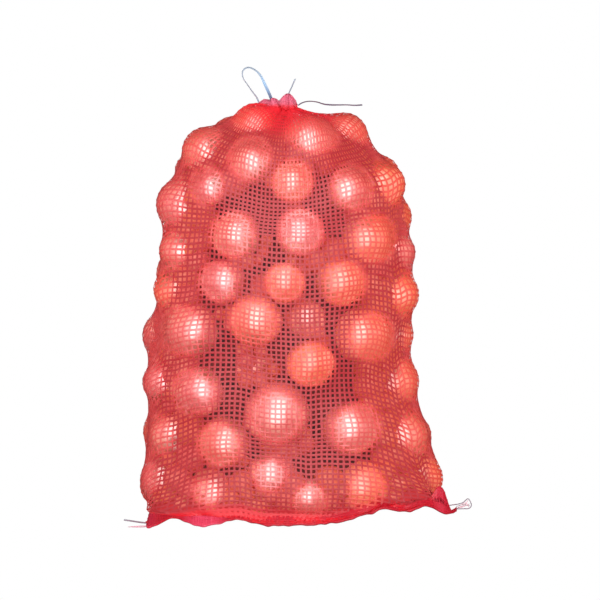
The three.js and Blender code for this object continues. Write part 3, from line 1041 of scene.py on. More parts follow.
def tape_material(name, colour, pale, deep, specular=TRIM_SPECULAR, tints=()):
    """Drawn plastic tape in three shades of a colour, with tints, each by a value that its points
    store and up to a share."""
    material, tree, shader = new_surface(name)
    group = add_node(tree, "ShaderNodeGroup", node_tree=drawn_tape_group())
    tree.links.new(attribute(tree, "fibre", "Vector"), group.inputs["Fibre"])
    for key, value in (("Colour", colour), ("Pale", pale), ("Deep", deep)):
        group.inputs[key].default_value = (*value, 1)
    shown = group.outputs["Colour"]
    for stored, tint, most in tints:
        share = ramp(tree, attribute(tree, stored, "Fac"), 0.0, 1.0, 0.0, most)
        shown = mix_colours(tree, share, shown, tint)
    tree.links.new(shown, shader.inputs["Base Color"])
    tree.links.new(group.outputs["Roughness"], shader.inputs["Roughness"])
    set_inputs(shader, {"Specular IOR Level": specular})
    raise_surface(tree, shader, group.outputs["Height"], TAPE_RELIEF)
    return material


def add_gloss(tree, faded_by):
    """A clear gloss that fades where values that its points store go up to the most given."""
    shader = tree.nodes["Principled BSDF"]
    weight = NET_GLOSS
    for stored, most, least in faded_by:
        left = ramp(tree, attribute(tree, stored, "Fac"), 0.0, most, 1.0, least)
        weight = add_node(tree, "ShaderNodeMath", {0: left, 1: weight}, operation="MULTIPLY").outputs[0]
    tree.links.new(weight, shader.inputs["Coat Weight"])
    set_inputs(shader, NET_COAT)


def show_instead(tree, lit, shown):
    """Gives the camera one shader and all other light another."""
    seen = add_node(tree, "ShaderNodeLightPath").outputs["Is Camera Ray"]
    mixed = add_node(tree, "ShaderNodeMixShader", {0: seen, 1: lit, 2: shown}).outputs[0]
    tree.links.new(mixed, tree.nodes["Material Output"].inputs["Surface"])


def let_light_through(tree, share, tint):
    """Lets part of the light on through to what lies behind thin strands, which still look whole."""
    shader = tree.nodes["Principled BSDF"].outputs[0]
    clear = add_node(tree, "ShaderNodeBsdfTransparent", {"Color": (*tint, 1)}).outputs[0]
    dimmed = add_node(tree, "ShaderNodeMixShader", {0: share, 1: shader, 2: clear}).outputs[0]
    show_instead(tree, dimmed, shader)


@functools.lru_cache(maxsize=None)
def net_material():
    """Strands of the net."""
    settings = bpy.context.scene.net_sack_net
    # The gap tint is painted shade, and the warm tint is painted light of an amber onion behind a strand
    tints = (
        ("warm", settings.warm, 0.75), ("gap", settings.shade, 0.8), ("foot", settings.foot, 0.9),
        ("neck", settings.neck, 0.9),
    )
    material = tape_material(
        "net_strand", settings.colour, settings.pale, settings.deep, NET_SPECULAR, tints,
    )
    faded_by = (("warm", 1.0, 0.3), ("gap", 0.35, 0.0), ("foot", 1.0, 0.0), ("neck", 1.0, 0.0))
    add_gloss(material.node_tree, faded_by)
    let_light_through(material.node_tree, settings.glow, settings.glow_colour)
    return material


@functools.lru_cache(maxsize=None)
def hem_material():
    """The hem's thicker, folded net."""
    settings = bpy.context.scene.net_sack_trim
    return tape_material(
        "hem_net", settings.hem_colour, settings.hem_pale, settings.hem_deep,
        tints=(("hang", settings.hem_shade, 0.9),),
    )


@functools.lru_cache(maxsize=None)
def mouth_material():
    """The gathered edge of the mouth."""
    settings = bpy.context.scene.net_sack_trim
    return tape_material(
        "mouth_net", settings.mouth_colour, settings.mouth_pale, settings.hem_colour,
        tints=(("neck", bpy.context.scene.net_sack_net.neck, 0.9),),
    )


@functools.lru_cache(maxsize=None)
def drawstring_material():
    """Flat blue drawstring."""
    settings = bpy.context.scene.net_sack_trim
    return tape_material(
        "drawstring_tape", settings.tape_colour, settings.tape_pale, settings.tape_deep,
        DRAWSTRING_SPECULAR, (("grey", settings.tape_grey, 0.85), ("dark", settings.tape_painted_shade, 0.9)),
    )


@functools.lru_cache(maxsize=None)
def thread_material():
    """Loose sewing thread."""
    settings = bpy.context.scene.net_sack_trim
    return tape_material(
        "sewing_thread", settings.thread_colour, settings.tape_pale, settings.hem_deep,
    )


@functools.lru_cache(maxsize=None)
def fray_material():
    """Frayed ends of the net."""
    settings = bpy.context.scene.net_sack_trim
    return tape_material(
        "frayed_net", settings.fray_colour, settings.tape_pale, settings.hem_pale,
    )


def onion_material(name, glossy):
    """Onion skin: veins from root to neck, paler bare patches, a dry husk at both ends."""
    settings = bpy.context.scene.net_sack_onions
    material, tree, shader = new_surface(name)
    skin = attribute(tree, "skin", "Vector")
    batch = attribute(tree, "batch", "Fac")
    offset = add_node(tree, "ShaderNodeCombineXYZ", {"X": batch, "Y": batch, "Z": batch}).outputs[0]
    place = add_node(tree, "ShaderNodeVectorMath", {0: skin, 1: offset}, operation="ADD").outputs[0]
    veins = noise(tree, stretched(tree, place, VEIN_STRETCH), detail=3.0, roughness=0.55)
    patches = noise(tree, stretched(tree, place, PATCH_STRETCH), detail=3.0)
    specks = noise(tree, stretched(tree, place, SPECK_STRETCH), detail=4.0, roughness=0.6)
    height = add_node(tree, "ShaderNodeSeparateXYZ", {0: skin}).outputs["Z"]
    ends = add_node(tree, "ShaderNodeMath", {0: height}, operation="ABSOLUTE").outputs[0]
    tone = attribute(tree, "tone", "Fac")
    shown = mix_colours(tree, tone, settings.amber, settings.rosy)
    for value, span, tint in (
        (patches, BARE_PATCHES, settings.cream), (veins, DARK_VEINS, settings.vein),
        (specks, DARK_SPECKS, settings.vein), (ends, HUSK_ENDS, settings.husk),
    ):
        shown = mix_colours(tree, ramp(tree, value, *span), shown, tint)
    # Painted shade: an inner onion darkens by its dim value
    if not glossy:
        shown = mix_colours(tree, attribute(tree, "dim", "Fac"), shown, settings.dim)
    tree.links.new(shown, shader.inputs["Base Color"])
    dull = [settings.roughness + spread for spread in DULL_SPREAD]
    tree.links.new(ramp(tree, patches, *DULL_PATCHES, *dull), shader.inputs["Roughness"])
    if glossy:
        tree.links.new(ramp(tree, tone, *ROSY_GLOSS), shader.inputs["Coat Weight"])
    set_inputs(shader, {"Specular IOR Level": SKIN_SPECULAR[glossy], **SKIN_COAT})
    raise_surface(tree, shader, veins, SKIN_RELIEF)
    return material


def core_material():
    """Inside of the pack, between the onions, painted dark as shade and lighter where it lies close
    under the net.
    """
    material, tree, shader = new_surface("pack_shade")
    place = add_node(tree, "ShaderNodeTexCoord").outputs["Object"]
    blotch = noise(tree, place, **CORE_BLOTCH)
    shown = mix_colours(tree, ramp(tree, blotch, *CORE_BLOTCH_SPAN), *CORE_COLOURS)
    shown = mix_colours(tree, attribute(tree, "edge", "Fac"), shown, CORE_EDGE)
    shown = mix_colours(tree, attribute(tree, "foot", "Fac"), shown, CORE_FOOT)
    tree.links.new(shown, shader.inputs["Base Color"])
    set_inputs(shader, {"Roughness": CORE_ROUGHNESS})
    return material


def floor_material():
    """Plain pale floor, which the camera sees as white."""
    material, tree, shader = new_surface("pale_floor")
    place = add_node(tree, "ShaderNodeTexCoord").outputs["Object"]
    shown = mix_colours(tree, noise(tree, place, FLOOR_PATCHES), *FLOOR_COLOURS)
    tree.links.new(shown, shader.inputs["Base Color"])
    set_inputs(shader, {"Roughness": FLOOR_ROUGHNESS})
    white = add_node(tree, "ShaderNodeEmission", {"Color": (1, 1, 1, 1), "Strength": 1.0}).outputs[0]
    show_instead(tree, shader.outputs[0], white)
    return material


# Operators


def add_lamp(name, at, aim, size, power, mirrored):
    """A soft lamp, which either lights things or is only mirrored by glossy ones."""
    data = bpy.data.lights.new(name, "AREA")
    data.shape = "RECTANGLE"
    data.size, data.size_y = size
    data.energy = power
    lamp = bpy.data.objects.new(name, data)
    lamp.visible_glossy = mirrored
    lamp.visible_diffuse = not mirrored
    lamp.location = at
    lamp.rotation_euler = (Vector(aim) - Vector(at)).to_track_quat("-Z", "Y").to_euler()
    bpy.context.scene.collection.objects.link(lamp)


class NETSACK_OT_stage(bpy.types.Operator):
    """Adds the camera, the floor and the lights"""

    bl_idname = "net_sack.stage"
    bl_label = "Stage"

    SENSOR = 36
    CLIP_END = 100
    FLOOR_HALF = 14.0

    # Lamps: name, place, width and height, setting of its power, whether it is only mirrored
    LAMPS = (
        ("key_lamp", (-0.05, -1.7, 0.7), (2.0, 2.0), "key_power", False),
        ("left_lamp", (-1.9, -0.9, 0.5), (1.4, 1.4), "side_power", False),
        ("right_lamp", (1.9, -0.9, 0.4), (1.2, 1.2), "side_power", False),
        ("top_lamp", (0.0, -0.8, 2.1), (1.0, 1.0), "top_power", False),
        ("back_lamp", (0.0, 1.9, 0.8), (1.6, 1.6), "back_power", False),
        ("gloss_lamp", (-0.05, -1.6, 0.7), (1.6, 3.0), "gloss_power", True),
    )

    def execute(self, context):
        settings = context.scene.net_sack_stage
        aim = Vector(settings.camera_aim)
        level = math.cos(settings.camera_elevation)
        back = Vector((0, -level, math.sin(settings.camera_elevation)))
        data = bpy.data.cameras.new("camera")
        data.lens = settings.camera_lens
        data.sensor_width = self.SENSOR
        data.clip_end = self.CLIP_END
        camera = bpy.data.objects.new("camera", data)
        camera.location = aim + back * settings.camera_distance
        camera.rotation_euler = (-back).to_track_quat("-Z", "Y").to_euler()
        context.scene.collection.objects.link(camera)
        context.scene.camera = camera
        self.add_floor(context)
        self.add_world(context, settings.world_light)
        for name, at, size, power, mirrored in self.LAMPS:
            add_lamp(name, at, aim, size, getattr(settings, power), mirrored)
        context.scene.view_settings.view_transform = "Standard"
        return {"FINISHED"}

    def add_floor(self, context):
        """A wide floor under the sack."""
        half = self.FLOOR_HALF
        mesh = bpy.data.meshes.new("floor")
        corners = [(-half, -half, 0), (half, -half, 0), (half, half, 0), (-half, half, 0)]
        mesh.from_pydata(corners, [], [(0, 1, 2, 3)])
        mesh.materials.append(floor_material())
        floor = bpy.data.objects.new("floor", mesh)
        floor.visible_glossy = False
        context.scene.collection.objects.link(floor)

    def add_world(self, context, strength):
        """White all round, seen at full brightness and not mirrored."""
        world = bpy.data.worlds.new("studio")
        world.use_nodes = True
        tree = world.node_tree
        tree.nodes.clear()
        ray = add_node(tree, "ShaderNodeLightPath").outputs
        even = add_node(
            tree, "ShaderNodeMapRange",
            {"Value": ray["Is Glossy Ray"], "To Min": strength, "To Max": 0.0},
        ).outputs[0]
        lit = add_node(
            tree, "ShaderNodeMapRange",
            {"Value": ray["Is Camera Ray"], "To Min": even, "To Max": 1.0},
        ).outputs[0]
        light = add_node(tree, "ShaderNodeBackground", {"Color": (1, 1, 1, 1), "Strength": lit})
        output = add_node(tree, "ShaderNodeOutputWorld")
        tree.links.new(light.outputs[0], output.inputs["Surface"])
        context.scene.world = world


TAPE_STEPS = 73


def tape_parts(route, width, thickness, twist):
    """A flat tape along a route, turned about its line by angles given at even shares of it."""
    path = catmull_rom(route, TAPE_STEPS)
    along = unit(np.gradient(path, axis=0))
    shares = np.linspace(0, 1, len(twist))
    turn = np.radians(np.interp(np.linspace(0, 1, len(path)), shares, twist))[:, None]
    facing = np.broadcast_to(np.array([0.0, -1.0, 0.0]), path.shape)
    facing = unit(facing - along * (facing * along).sum(1, keepdims=True))
    normal = facing * np.cos(turn) + np.cross(along, facing) * np.sin(turn)
    return path, ribbons(path[None], normal[None], width, thickness, False)


class NETSACK_OT_drawstring(bpy.types.Operator):
    """Adds the drawstring's loop and its two tails"""

    bl_idname = "net_sack.drawstring"
    bl_label = "Drawstring"

    # Each part: node, route, twist in degrees, far end, and how grey it is and how much painted shade
    # darkens it along its way
    ROUTES = (
        ("drawstring_loop", LOOP_ROUTE, (10, -5, 30, 58, 64, 66, 56, 40), "object",
         {"grey": (0, 0, 0.3, 0.9, 1, 1, 1, 0.6), "dark": (0.8, 0.55, 0, 0.3, 0.3, 0, 0, 0.3)}),
        ("drawstring_tail_short", SHORT_TAIL_ROUTE, (62, 66, 58), "bare",
         {"grey": (1, 1), "dark": (0.4, 0.2)}),
        ("drawstring_tail_long", LONG_TAIL_ROUTE, (60, 66, 54, 62, 56), "bare",
         {"dark": (1, 1, 0.8, 0.9)}),
    )

    def execute(self, context):
        settings = context.scene.net_sack_trim
        width = settings.tape_width / MM
        thickness = settings.tape_thickness / MM
        for node, route, twist, far_end, tinted in self.ROUTES:
            path, parts = tape_parts(route, width, thickness, twist)
            share = np.linspace(0, 1, len(path))
            tints = {
                key: np.interp(share, np.linspace(0, 1, len(most)), most) for key, most in tinted.items()
            }
            tape = make_strands(
                node + "_tape", parts, drawstring_material(), "tape", (node,), **tints,
            )
        return {"FINISHED"}


# Share of rosy skin: on average, how it falls from left to right, and how it varies
TONE_MEAN = 0.48
TONE_SLOPE = 0.0022
TONE_SPREAD = 0.28


def onion_tones(onions):
    """Skin of each onion from 0, amber, to 1, rosy, with more rosy ones to the left."""
    draws = np.random.default_rng(PACK_SEED + 4)
    return np.clip(draws.normal(TONE_MEAN - TONE_SLOPE * onions[:, 0], TONE_SPREAD), 0, 1)


class NETSACK_OT_onions(bpy.types.Operator):
    """Adds the onions that press against the net, and those behind the gaps between them"""

    bl_idname = "net_sack.onions"
    bl_label = "Onions"

    # Onions of a kind: name, places, sides, steps from root to neck, whether they are glossy
    KINDS = (
        ("onions", packed_onions, 36, 24, True),
        ("inner_onions", gap_onions, 16, 10, False),
    )

    # Shape of an onion of radius 1
    ENDS = (0.004, 0.996)
    SQUAT = (0.9, 1.0)
    SHOULDERS = (0.86, 1.0)
    NECK_SPAN = (0.86, 1)
    NECK_RISE = (0.06, 0.16)
    ROOT_SPAN = (0.1, 0)
    ROOT_DIP = 0.05
    LOBES = 6
    FULLNESS = 1.002
    RIPPLE = 0.006

    # How far its neck leans out, and where its skin lies in the noise and in the flat map
    LEAN = 0.25
    AXIS_SPAN = (110, 400)
    BATCH_SHIFT = 5.3
    TILE_MARGIN = 0.02

    # Dents, and how far out they may bring the skin below the neck
    DENT_WAVES = 4
    DENT_PACE = 5
    DENT_DEPTH = 0.045
    DENT_LEVEL = 0.2
    ROUND_REACH = 1.016
    NECK_FROM = 0.9

    def execute(self, context):
        draws = np.random.default_rng(PACK_SEED + 1)
        for name, places, sides, rise, glossy in self.KINDS:
            material = onion_material(name + "_skin", glossy)
            self.add_onions(name, places(), sides, rise, material, draws)
        return {"FINISHED"}

    def dented(self, shape, skin, draws):
        """An onion's shape with low dents all over it, within a reach that only its neck passes."""
        ways = unit(draws.normal(size=(self.DENT_WAVES, 3))) * self.DENT_PACE
        waves = np.cos(shape @ ways.T + draws.uniform(0, 2 * math.pi, self.DENT_WAVES)).mean(-1)
        shape = shape * (1 + self.DENT_DEPTH * (waves - self.DENT_LEVEL))[:, None]
        most = np.where(skin[:, 2] < self.NECK_FROM, self.ROUND_REACH, np.inf)
        return shape * np.minimum(1, most / np.linalg.norm(shape, axis=1))[:, None]

    def add_onions(self, name, onions, sides, rise, material, draws):
        """One piece with all onions of a kind."""
        points, skins, batches = [], [], []
        dent_draws = np.random.default_rng(PACK_SEED + 5)
        for index, (*middle, r) in enumerate(onions[:, :4]):
            shape, skin = self.onion_shape(sides, rise, draws)
            shape = self.dented(shape, skin, dent_draws)
            turn = self.onion_turn(np.array(middle), draws)
            points.append(np.array(middle) + r * shape @ turn.T)
            skins.append(skin)
            batches.append(np.full(len(shape), index * self.BATCH_SHIFT))
        corners, tile = self.onion_faces(sides, rise)
        count = np.arange(len(onions))[:, None, None]
        piece = make_piece(
            name, np.vstack(points), (corners + count * len(points[0])).reshape(-1, 4), material,
        )
        give_values(piece, "skin", np.vstack(skins))
        give_values(piece, "batch", np.concatenate(batches))
        give_values(piece, "tone", np.repeat(onion_tones(onions), len(points[0])))
        if onions.shape[1] > 4:
            give_values(piece, "dim", np.repeat(onions[:, 4], len(points[0])))
        tiles = math.ceil(math.sqrt(len(onions)))
        places = np.concatenate([count % tiles, count // tiles], -1)[:, :, None]
        inner = self.TILE_MARGIN + (1 - 2 * self.TILE_MARGIN) * tile
        give_map(piece, ((places + inner) / tiles).reshape(-1, 4, 2))

    def onion_faces(self, sides, rise):
        """Faces of one onion's grid, and their places in its tile of the flat map."""
        i, j = np.meshgrid(np.arange(rise), np.arange(sides), indexing="ij")
        tile = tile_corners(j / sides, (j + 1) / sides, i / rise, (i + 1) / rise)
        return grid_faces(rise + 1, sides), tile

    def onion_shape(self, sides, steps, draws):
        """A squat globe of radius 1, root at the bottom and a short dry neck on top."""
        round_it = np.linspace(0, 2 * math.pi, sides, endpoint=False)[None]
        share = np.linspace(*self.ENDS, steps + 1)[:, None]
        rise = share * math.pi
        squat = draws.uniform(*self.SQUAT)
        lobes = draws.uniform(-1, 1, self.LOBES)
        wide = np.sin(rise) ** draws.uniform(*self.SHOULDERS)
        tall = -np.cos(rise) * squat
        tall = tall + draws.uniform(*self.NECK_RISE) * smoothstep(share, *self.NECK_SPAN)
        tall = tall + self.ROOT_DIP * smoothstep(share, *self.ROOT_SPAN)
        ripple = sum(
            lobes[k] * np.cos((k + 2) * round_it + self.LOBES * lobes[-1 - k])
            for k in range(self.LOBES - 1)
        )
        wide = wide * (self.FULLNESS + self.RIPPLE * ripple)
        place = np.cos(round_it), np.sin(round_it)
        shape = np.stack([wide * place[0], wide * place[1], np.broadcast_to(tall, wide.shape)], -1)
        skin = np.stack(np.broadcast_arrays(*place, -np.cos(rise)), -1)
        return shape.reshape(-1, 3), skin.reshape(-1, 3)

    def onion_turn(self, middle, draws):
        """A turn that lays the onion's neck roughly along the net and not out through it."""
        outward = unit(middle - np.array([SPINE["x"], 0, np.clip(middle[2], *self.AXIS_SPAN)]))
        axis = draws.normal(size=3)
        lean = draws.uniform(-self.LEAN, self.LEAN)
        axis = unit(axis - outward * (axis @ outward) + outward * lean)
        side = unit(np.cross(axis, outward))
        return np.column_stack([side, np.cross(axis, side), axis])


def onion_gap(places):
    """Distance from places to each packed onion's surface, onion by onion."""
    return np.stack([np.linalg.norm(places - middle, axis=-1) - r for *middle, r in packed_onions()])


class NETSACK_OT_core(bpy.types.Operator):
    """Adds the inside of the pack, painted dark as shade, which shows between the onions"""

    bl_idname = "net_sack.core"
    bl_label = "Inside of the pack"

    # How deep it lies below the net: mostly, under the neck, and along the sack's edges, where it is
    # deeper behind an onion than between two
    ROWS = slice(6, -6)
    INSET = 28
    TOP_INSET = 12
    TOP_FACING = (0.75, 0.92)
    EDGE_INSETS = (9, 1.4)
    EDGE_MIDDLE = 0.08
    EDGE_FACING = (0.09, 0.22)
    VALLEY = (1.1, 3)

    # How it comes close to the hem at the foot, and stays above the hem's lower edge
    FOOT_SPAN = (10, 30)
    FOOT_CUT = 0.88
    FOOT_GAP = 4
    FOOT_TUCK = 12

    def execute(self, context):
        columns = context.scene.net_sack_net.columns
        _, way = net_rays(columns)
        surface = net_surface(columns)
        plan = np.maximum(np.linalg.norm(way[..., :2], axis=-1), 1e-6)
        edge = 1 - smoothstep(np.abs(way[..., 1] / plan - self.EDGE_MIDDLE), *self.EDGE_FACING)
        top = smoothstep(way[..., 2], *self.TOP_FACING)
        low = hem_foot(surface[..., 0]) + hem_wave(surface[..., 0])
        foot = 1 - smoothstep(surface[..., 2] - low, *self.FOOT_SPAN)
        bulge, valley = self.EDGE_INSETS
        close = bulge + (valley - bulge) * smoothstep(onion_gap(surface).min(0), *self.VALLEY)
        inset = self.INSET + (self.TOP_INSET - self.INSET) * top
        inset = (inset + (close - inset) * edge) * (1 - self.FOOT_CUT * foot)
        points = surface - way * np.maximum(inset, valley)[..., None]
        lift = np.maximum(low + self.FOOT_GAP - points[..., 2], 0)
        points[..., 2] += lift
        tuck = np.minimum(lift, self.FOOT_TUCK) / plan
        points[..., :2] -= way[..., :2] * tuck[..., None]
        points = points[self.ROWS].reshape(-1, 3)
        rings = np.arange(len(points)).reshape(-1, columns)
        faces = grid_faces(*rings.shape)[:, ::-1].tolist()
        faces += [rings[0].tolist(), rings[-1, ::-1].tolist()]
        piece = make_piece("pack_core", points, faces, core_material())
        give_values(piece, "edge", np.maximum(edge, top)[self.ROWS].ravel())
        give_values(piece, "foot", foot[self.ROWS].ravel())
        return {"FINISHED"}


class NETSACK_OT_net(bpy.types.Operator):
    """Adds the woven net: upright strands and level strands over and under each other"""

    bl_idname = "net_sack.net"
    bl_label = "Net"

    # Width of a strand: how it varies, how it spreads at the foot, and the most that crowding leaves
    OWN_WIDTHS = (0.86, 1.12)
    FOOT_SPREAD = {"warps": 0.6, "wefts": 0.7}
    CROWDED = (0.3, 0.6)

    # What lies behind a crossing: how far off an onion leaves a gap, which sets the strand's painted
    # shade, less so towards the edges
    GAP_SPAN = (1.5, 10)
    GAP_FACING = (0.25, 0.75)
    GAP_AT_EDGE = 0.35

    def execute(self, context):
        settings = context.scene.net_sack_net
        grid, normals, foot, neck = net_grid(settings.columns, settings.rows)
        gap, warm = self.backing(grid, normals)
        width = settings.strand_width / MM
        thickness = settings.strand_thickness / MM
        row, column = np.indices(grid.shape[:2])
        over = np.where((row + column) % 2, 1.0, -1.0)[..., None] * settings.weave / MM
        apart = np.linalg.norm(np.roll(grid, -1, 1) - np.roll(grid, 1, 1), axis=-1) / 2
        draws = np.random.default_rng(PACK_SEED + 2)
        own = draws.uniform(*self.OWN_WIDTHS, grid.shape[1])
        room = self.CROWDED[0] + self.CROWDED[1] * apart
        warp_width = np.minimum(width * (1 + self.FOOT_SPREAD["warps"] * foot), room) * own[None]
        upright = (grid + normals * over).swapaxes(0, 1)
        warps = ribbons(upright, normals.swapaxes(0, 1), warp_width.T, thickness, False)
        tints = {"warm": warm, "gap": gap, "foot": foot, "neck": neck}
        turned = {key: values.T for key, values in tints.items()}
        make_strands("net_warps", warps, net_material(), "net", **turned)
        own = draws.uniform(*self.OWN_WIDTHS, grid.shape[0])
        weft_width = width * own[:, None] * (1 + self.FOOT_SPREAD["wefts"] * foot)
        wefts = ribbons(grid - normals * over, normals, weft_width, thickness, True)
        make_strands("net_wefts", wefts, net_material(), "net", **tints)
        return {"FINISHED"}

    def backing(self, grid, normals):
        """How much painted shade each crossing gets for the open space behind it, and how much painted
        light of an amber onion lies there.
        """
        off = onion_gap(grid)
        gap = smoothstep(off.min(0), *self.GAP_SPAN)
        # Painted light: amber of the nearest onion, where it lies close behind the crossing
        amber = 1 - onion_tones(packed_onions())
        warm = amber[off.argmin(0)] * (1 - gap)
        facing = smoothstep(np.abs(normals[..., 1]), *self.GAP_FACING)
        return gap * (self.GAP_AT_EDGE + (1 - self.GAP_AT_EDGE) * facing), warm


class NETSACK_OT_hem(bpy.types.Operator):
    """Adds the sewn hem along the foot, with its stitches and loose threads"""

    bl_idname = "net_sack.hem"
    bl_label = "Hem"

    ALONG = 360
    UP = 14
    HALF_THICKNESS = 1.1
    LOWEST = 1.4
    BACK_LOWEST = 0.2
    CORNER_TUCK = 4
    CORNER_SPAN = 0.05

    # Crumples as depth, length across, pace up and seed, and how much of them the seam keeps
    CRUMPLES = ((1.3, 7, 2.0, 31), (0.8, 3, 3.0, 32))
    CRUMPLE_AT_SEAM = 0.35
    CRUMPLE_LIFT = 0.5

    # Web that joins the raised corner to the net, and how bright its painted light makes it and the two
    # flaps
    WEB = {"height": 22, "start": 156, "full": 170, "fall": 172, "end": 184}
    WEB_LIGHT = 0.3
    FLAP_LIGHT = (1, 0.5)

    # Fibre places along the band, up it and behind it, and what is sewn to it or hangs from it
    BAND_FIBRE = (130, 60, 5)
    STRAND = {"every": 3, "width": 1.5, "thickness": 0.5, "lift": 0.25}
    STITCH = {"count": 520, "up": 0.66, "half": 0.09, "width": 1.0, "thickness": 0.7}
    STITCH_SPAN = (0.01, 0.985)
    STITCH_LEAN = (0, -0.5, 1.0)
    THREAD_STEPS = 40
    THREAD_FACING = (0.0, -1.0, 0.2)
    THREAD_FLATNESS = 0.8

    # Loose ends as points and width
    LEFT_THREADS = (
        (((-176, -84, 3), (-188, -80, 3.6), (-198, -76, 4.6), (-208, -72, 5.6)), 1.9),
    )
    LEFT_FUZZ = (
        (((-178, -106, 2), (-188, -109, 1.6), (-201, -108, 1.8)), 1.0),
        (((-178, -104, 2.6), (-190, -107, 2.4), (-198, -110, 1.6)), 0.8),
        (((-178, -107, 1.6), (-186, -105, 2.6), (-203, -106, 1.4)), 0.7),
    )
    RIGHT_THREADS = (
        (((176, -36, 18), (186, -35, 19), (197, -33, 21), (204, -32, 26), (208, -32, 18.5),
          (205, -33, 14.5), (198, -34, 14.2), (188, -35, 14)), 1.2),
        (((190, -34, 17), (198, -33, 19), (206, -32, 17.5)), 0.7),
    )
    RIGHT_FUZZ = (
        (((192, -34, 16), (199, -33, 18), (204, -32, 24)), 0.8),
        (((190, -35, 15), (198, -34, 16.5), (206, -33, 20)), 0.7),
        (((194, -34, 18), (201, -33, 21), (205, -33, 16)), 0.7),
    )

    def execute(self, context):
        self.add_band()
        self.add_strands()
        self.add_stitches()
        self.add_threads()
        return {"FINISHED"}

    def surface(self, along, up):
        """A point of the crumpled hem."""
        x = hem_across(along)
        at = hem_point(along, up)
        crumple = sum(
            deep * drift(x / wide, up * pace, seed) for deep, wide, pace, seed in self.CRUMPLES
        )
        crumple = crumple * (1 - (1 - self.CRUMPLE_AT_SEAM) * up)
        at[..., 0] += self.CORNER_TUCK * up * (1 - smoothstep(along, 0, self.CORNER_SPAN))
        at[..., 2] += self.WEB["height"] * self.web(x) * up ** 2
        at = at + np.stack([0 * x, crumple, self.CRUMPLE_LIFT * crumple], -1)
        at[..., 2] = np.maximum(at[..., 2], self.LOWEST)
        return at

    def web(self, x):
        """How far the hem is drawn up to the net beside the right corner."""
        rise = smoothstep(x, self.WEB["start"], self.WEB["full"])
        return rise * (1 - smoothstep(x, self.WEB["fall"], self.WEB["end"]))

    def shares(self):
        """Even shares along the hem and up it, row by row from its lower edge."""
        return np.meshgrid(np.linspace(0, 1, self.ALONG + 1), np.linspace(0, 1, self.UP + 1))

    def grid(self):
        """Points of the hem at those shares, and their normals."""
        at = self.surface(*self.shares())
        level = np.gradient(at, axis=1)
        rising = np.gradient(at, axis=0)
        return at, unit(np.cross(level, rising))

    def band(self):
        """The folded hem as a closed thin sheet."""
        at, normals = self.grid()
        front = at + normals * self.HALF_THICKNESS
        back = at - normals * self.HALF_THICKNESS
        back[..., 2] = np.maximum(back[..., 2], self.BACK_LOWEST)
        points = np.vstack([front.reshape(-1, 3), back.reshape(-1, 3)])
        rows = np.arange(len(points) // 2).reshape(at.shape[:2])
        face = grid_faces(*rows.shape, closed=False)
        rim = np.r_[rows[0], rows[1:, -1], rows[-1, -2::-1], rows[-2:0:-1, 0]]
        after = np.roll(rim, -1)
        behind = rows.size
        sides = np.column_stack([rim + behind, after + behind, after, rim])
        return points, np.vstack([face, face[:, ::-1] + behind, sides])

    def shade(self, along):
        """How much painted shade the hem gets where it hangs, and less on the web and the flaps that lie
        forward, which are painted bright.
        """
        x = hem_across(along)
        bright = self.WEB_LIGHT * self.web(x)
        for light, flap in zip(self.FLAP_LIGHT, HEM_FLAPS):
            bright = np.maximum(bright, light * flap_share(x, flap))
        return 1 - bright

    def add_band(self):
        """The band, with fibre places along it and up it."""
        piece = make_piece("hem_band", *self.band(), hem_material(), "net")
        along, up = self.shares()
        long, tall, behind = self.BAND_FIBRE
        fibre = np.stack([along * long, up * tall, 0 * along], -1).reshape(-1, 3)
        give_values(piece, "fibre", np.vstack([fibre, fibre + [0, 0, behind]]))
        give_values(piece, "hang", np.tile(self.shade(along).ravel(), 2))

    def add_strands(self):
        """Strands of the hem's doubled net, which stand out a little from the band."""
        at, normals = self.grid()
        lifted = at + normals * (self.HALF_THICKNESS + self.STRAND["lift"])
        shade = self.shade(self.shares()[0])
        columns = slice(1, -1, self.STRAND["every"])
        rows = slice(1, None, self.STRAND["every"])
        upright = [values[:, columns].swapaxes(0, 1) for values in (lifted, normals, shade)]
        level = [values[rows] for values in (lifted, normals, shade)]
        for name, (paths, facing, hang) in (("hem_warps", upright), ("hem_wefts", level)):
            parts = ribbons(paths, facing, self.STRAND["width"], self.STRAND["thickness"], False)
            make_strands(name, parts, hem_material(), "net", hang=hang)

    def add_stitches(self):
        """A row of zigzag stitches along the seam."""
        stitch = self.STITCH
        along = np.linspace(*self.STITCH_SPAN, stitch["count"])
        up = stitch["up"] + stitch["half"] * np.where(np.arange(len(along)) % 2, 1.0, -1.0)
        at = self.surface(along, up)
        normal = unit(np.cross(np.gradient(at, axis=0), np.array(self.STITCH_LEAN)))
        path = at + normal * (self.HALF_THICKNESS + stitch["thickness"])
        stitches = ribbons(path[None], normal[None], stitch["width"], stitch["thickness"], False)
        make_strands("hem_stitches", stitches, hem_material(), "net", hang=self.shade(along))

    def add_threads(self):
        """Loose ends of sewing thread and frayed net at both corners."""
        kinds = (
            ("loose_threads", (*self.LEFT_THREADS, *self.RIGHT_THREADS), thread_material()),
            ("frayed_ends", (*self.LEFT_FUZZ, *self.RIGHT_FUZZ), fray_material()),
        )
        for name, routes, material in kinds:
            parts = []
            for route, width in routes:
                path = catmull_rom(route, self.THREAD_STEPS)
                normal = np.broadcast_to(np.array(self.THREAD_FACING), path.shape)
                thickness = width * self.THREAD_FLATNESS
                parts.append(ribbons(path[None], normal[None], width, thickness, False))
            make_joined(name, parts, material)


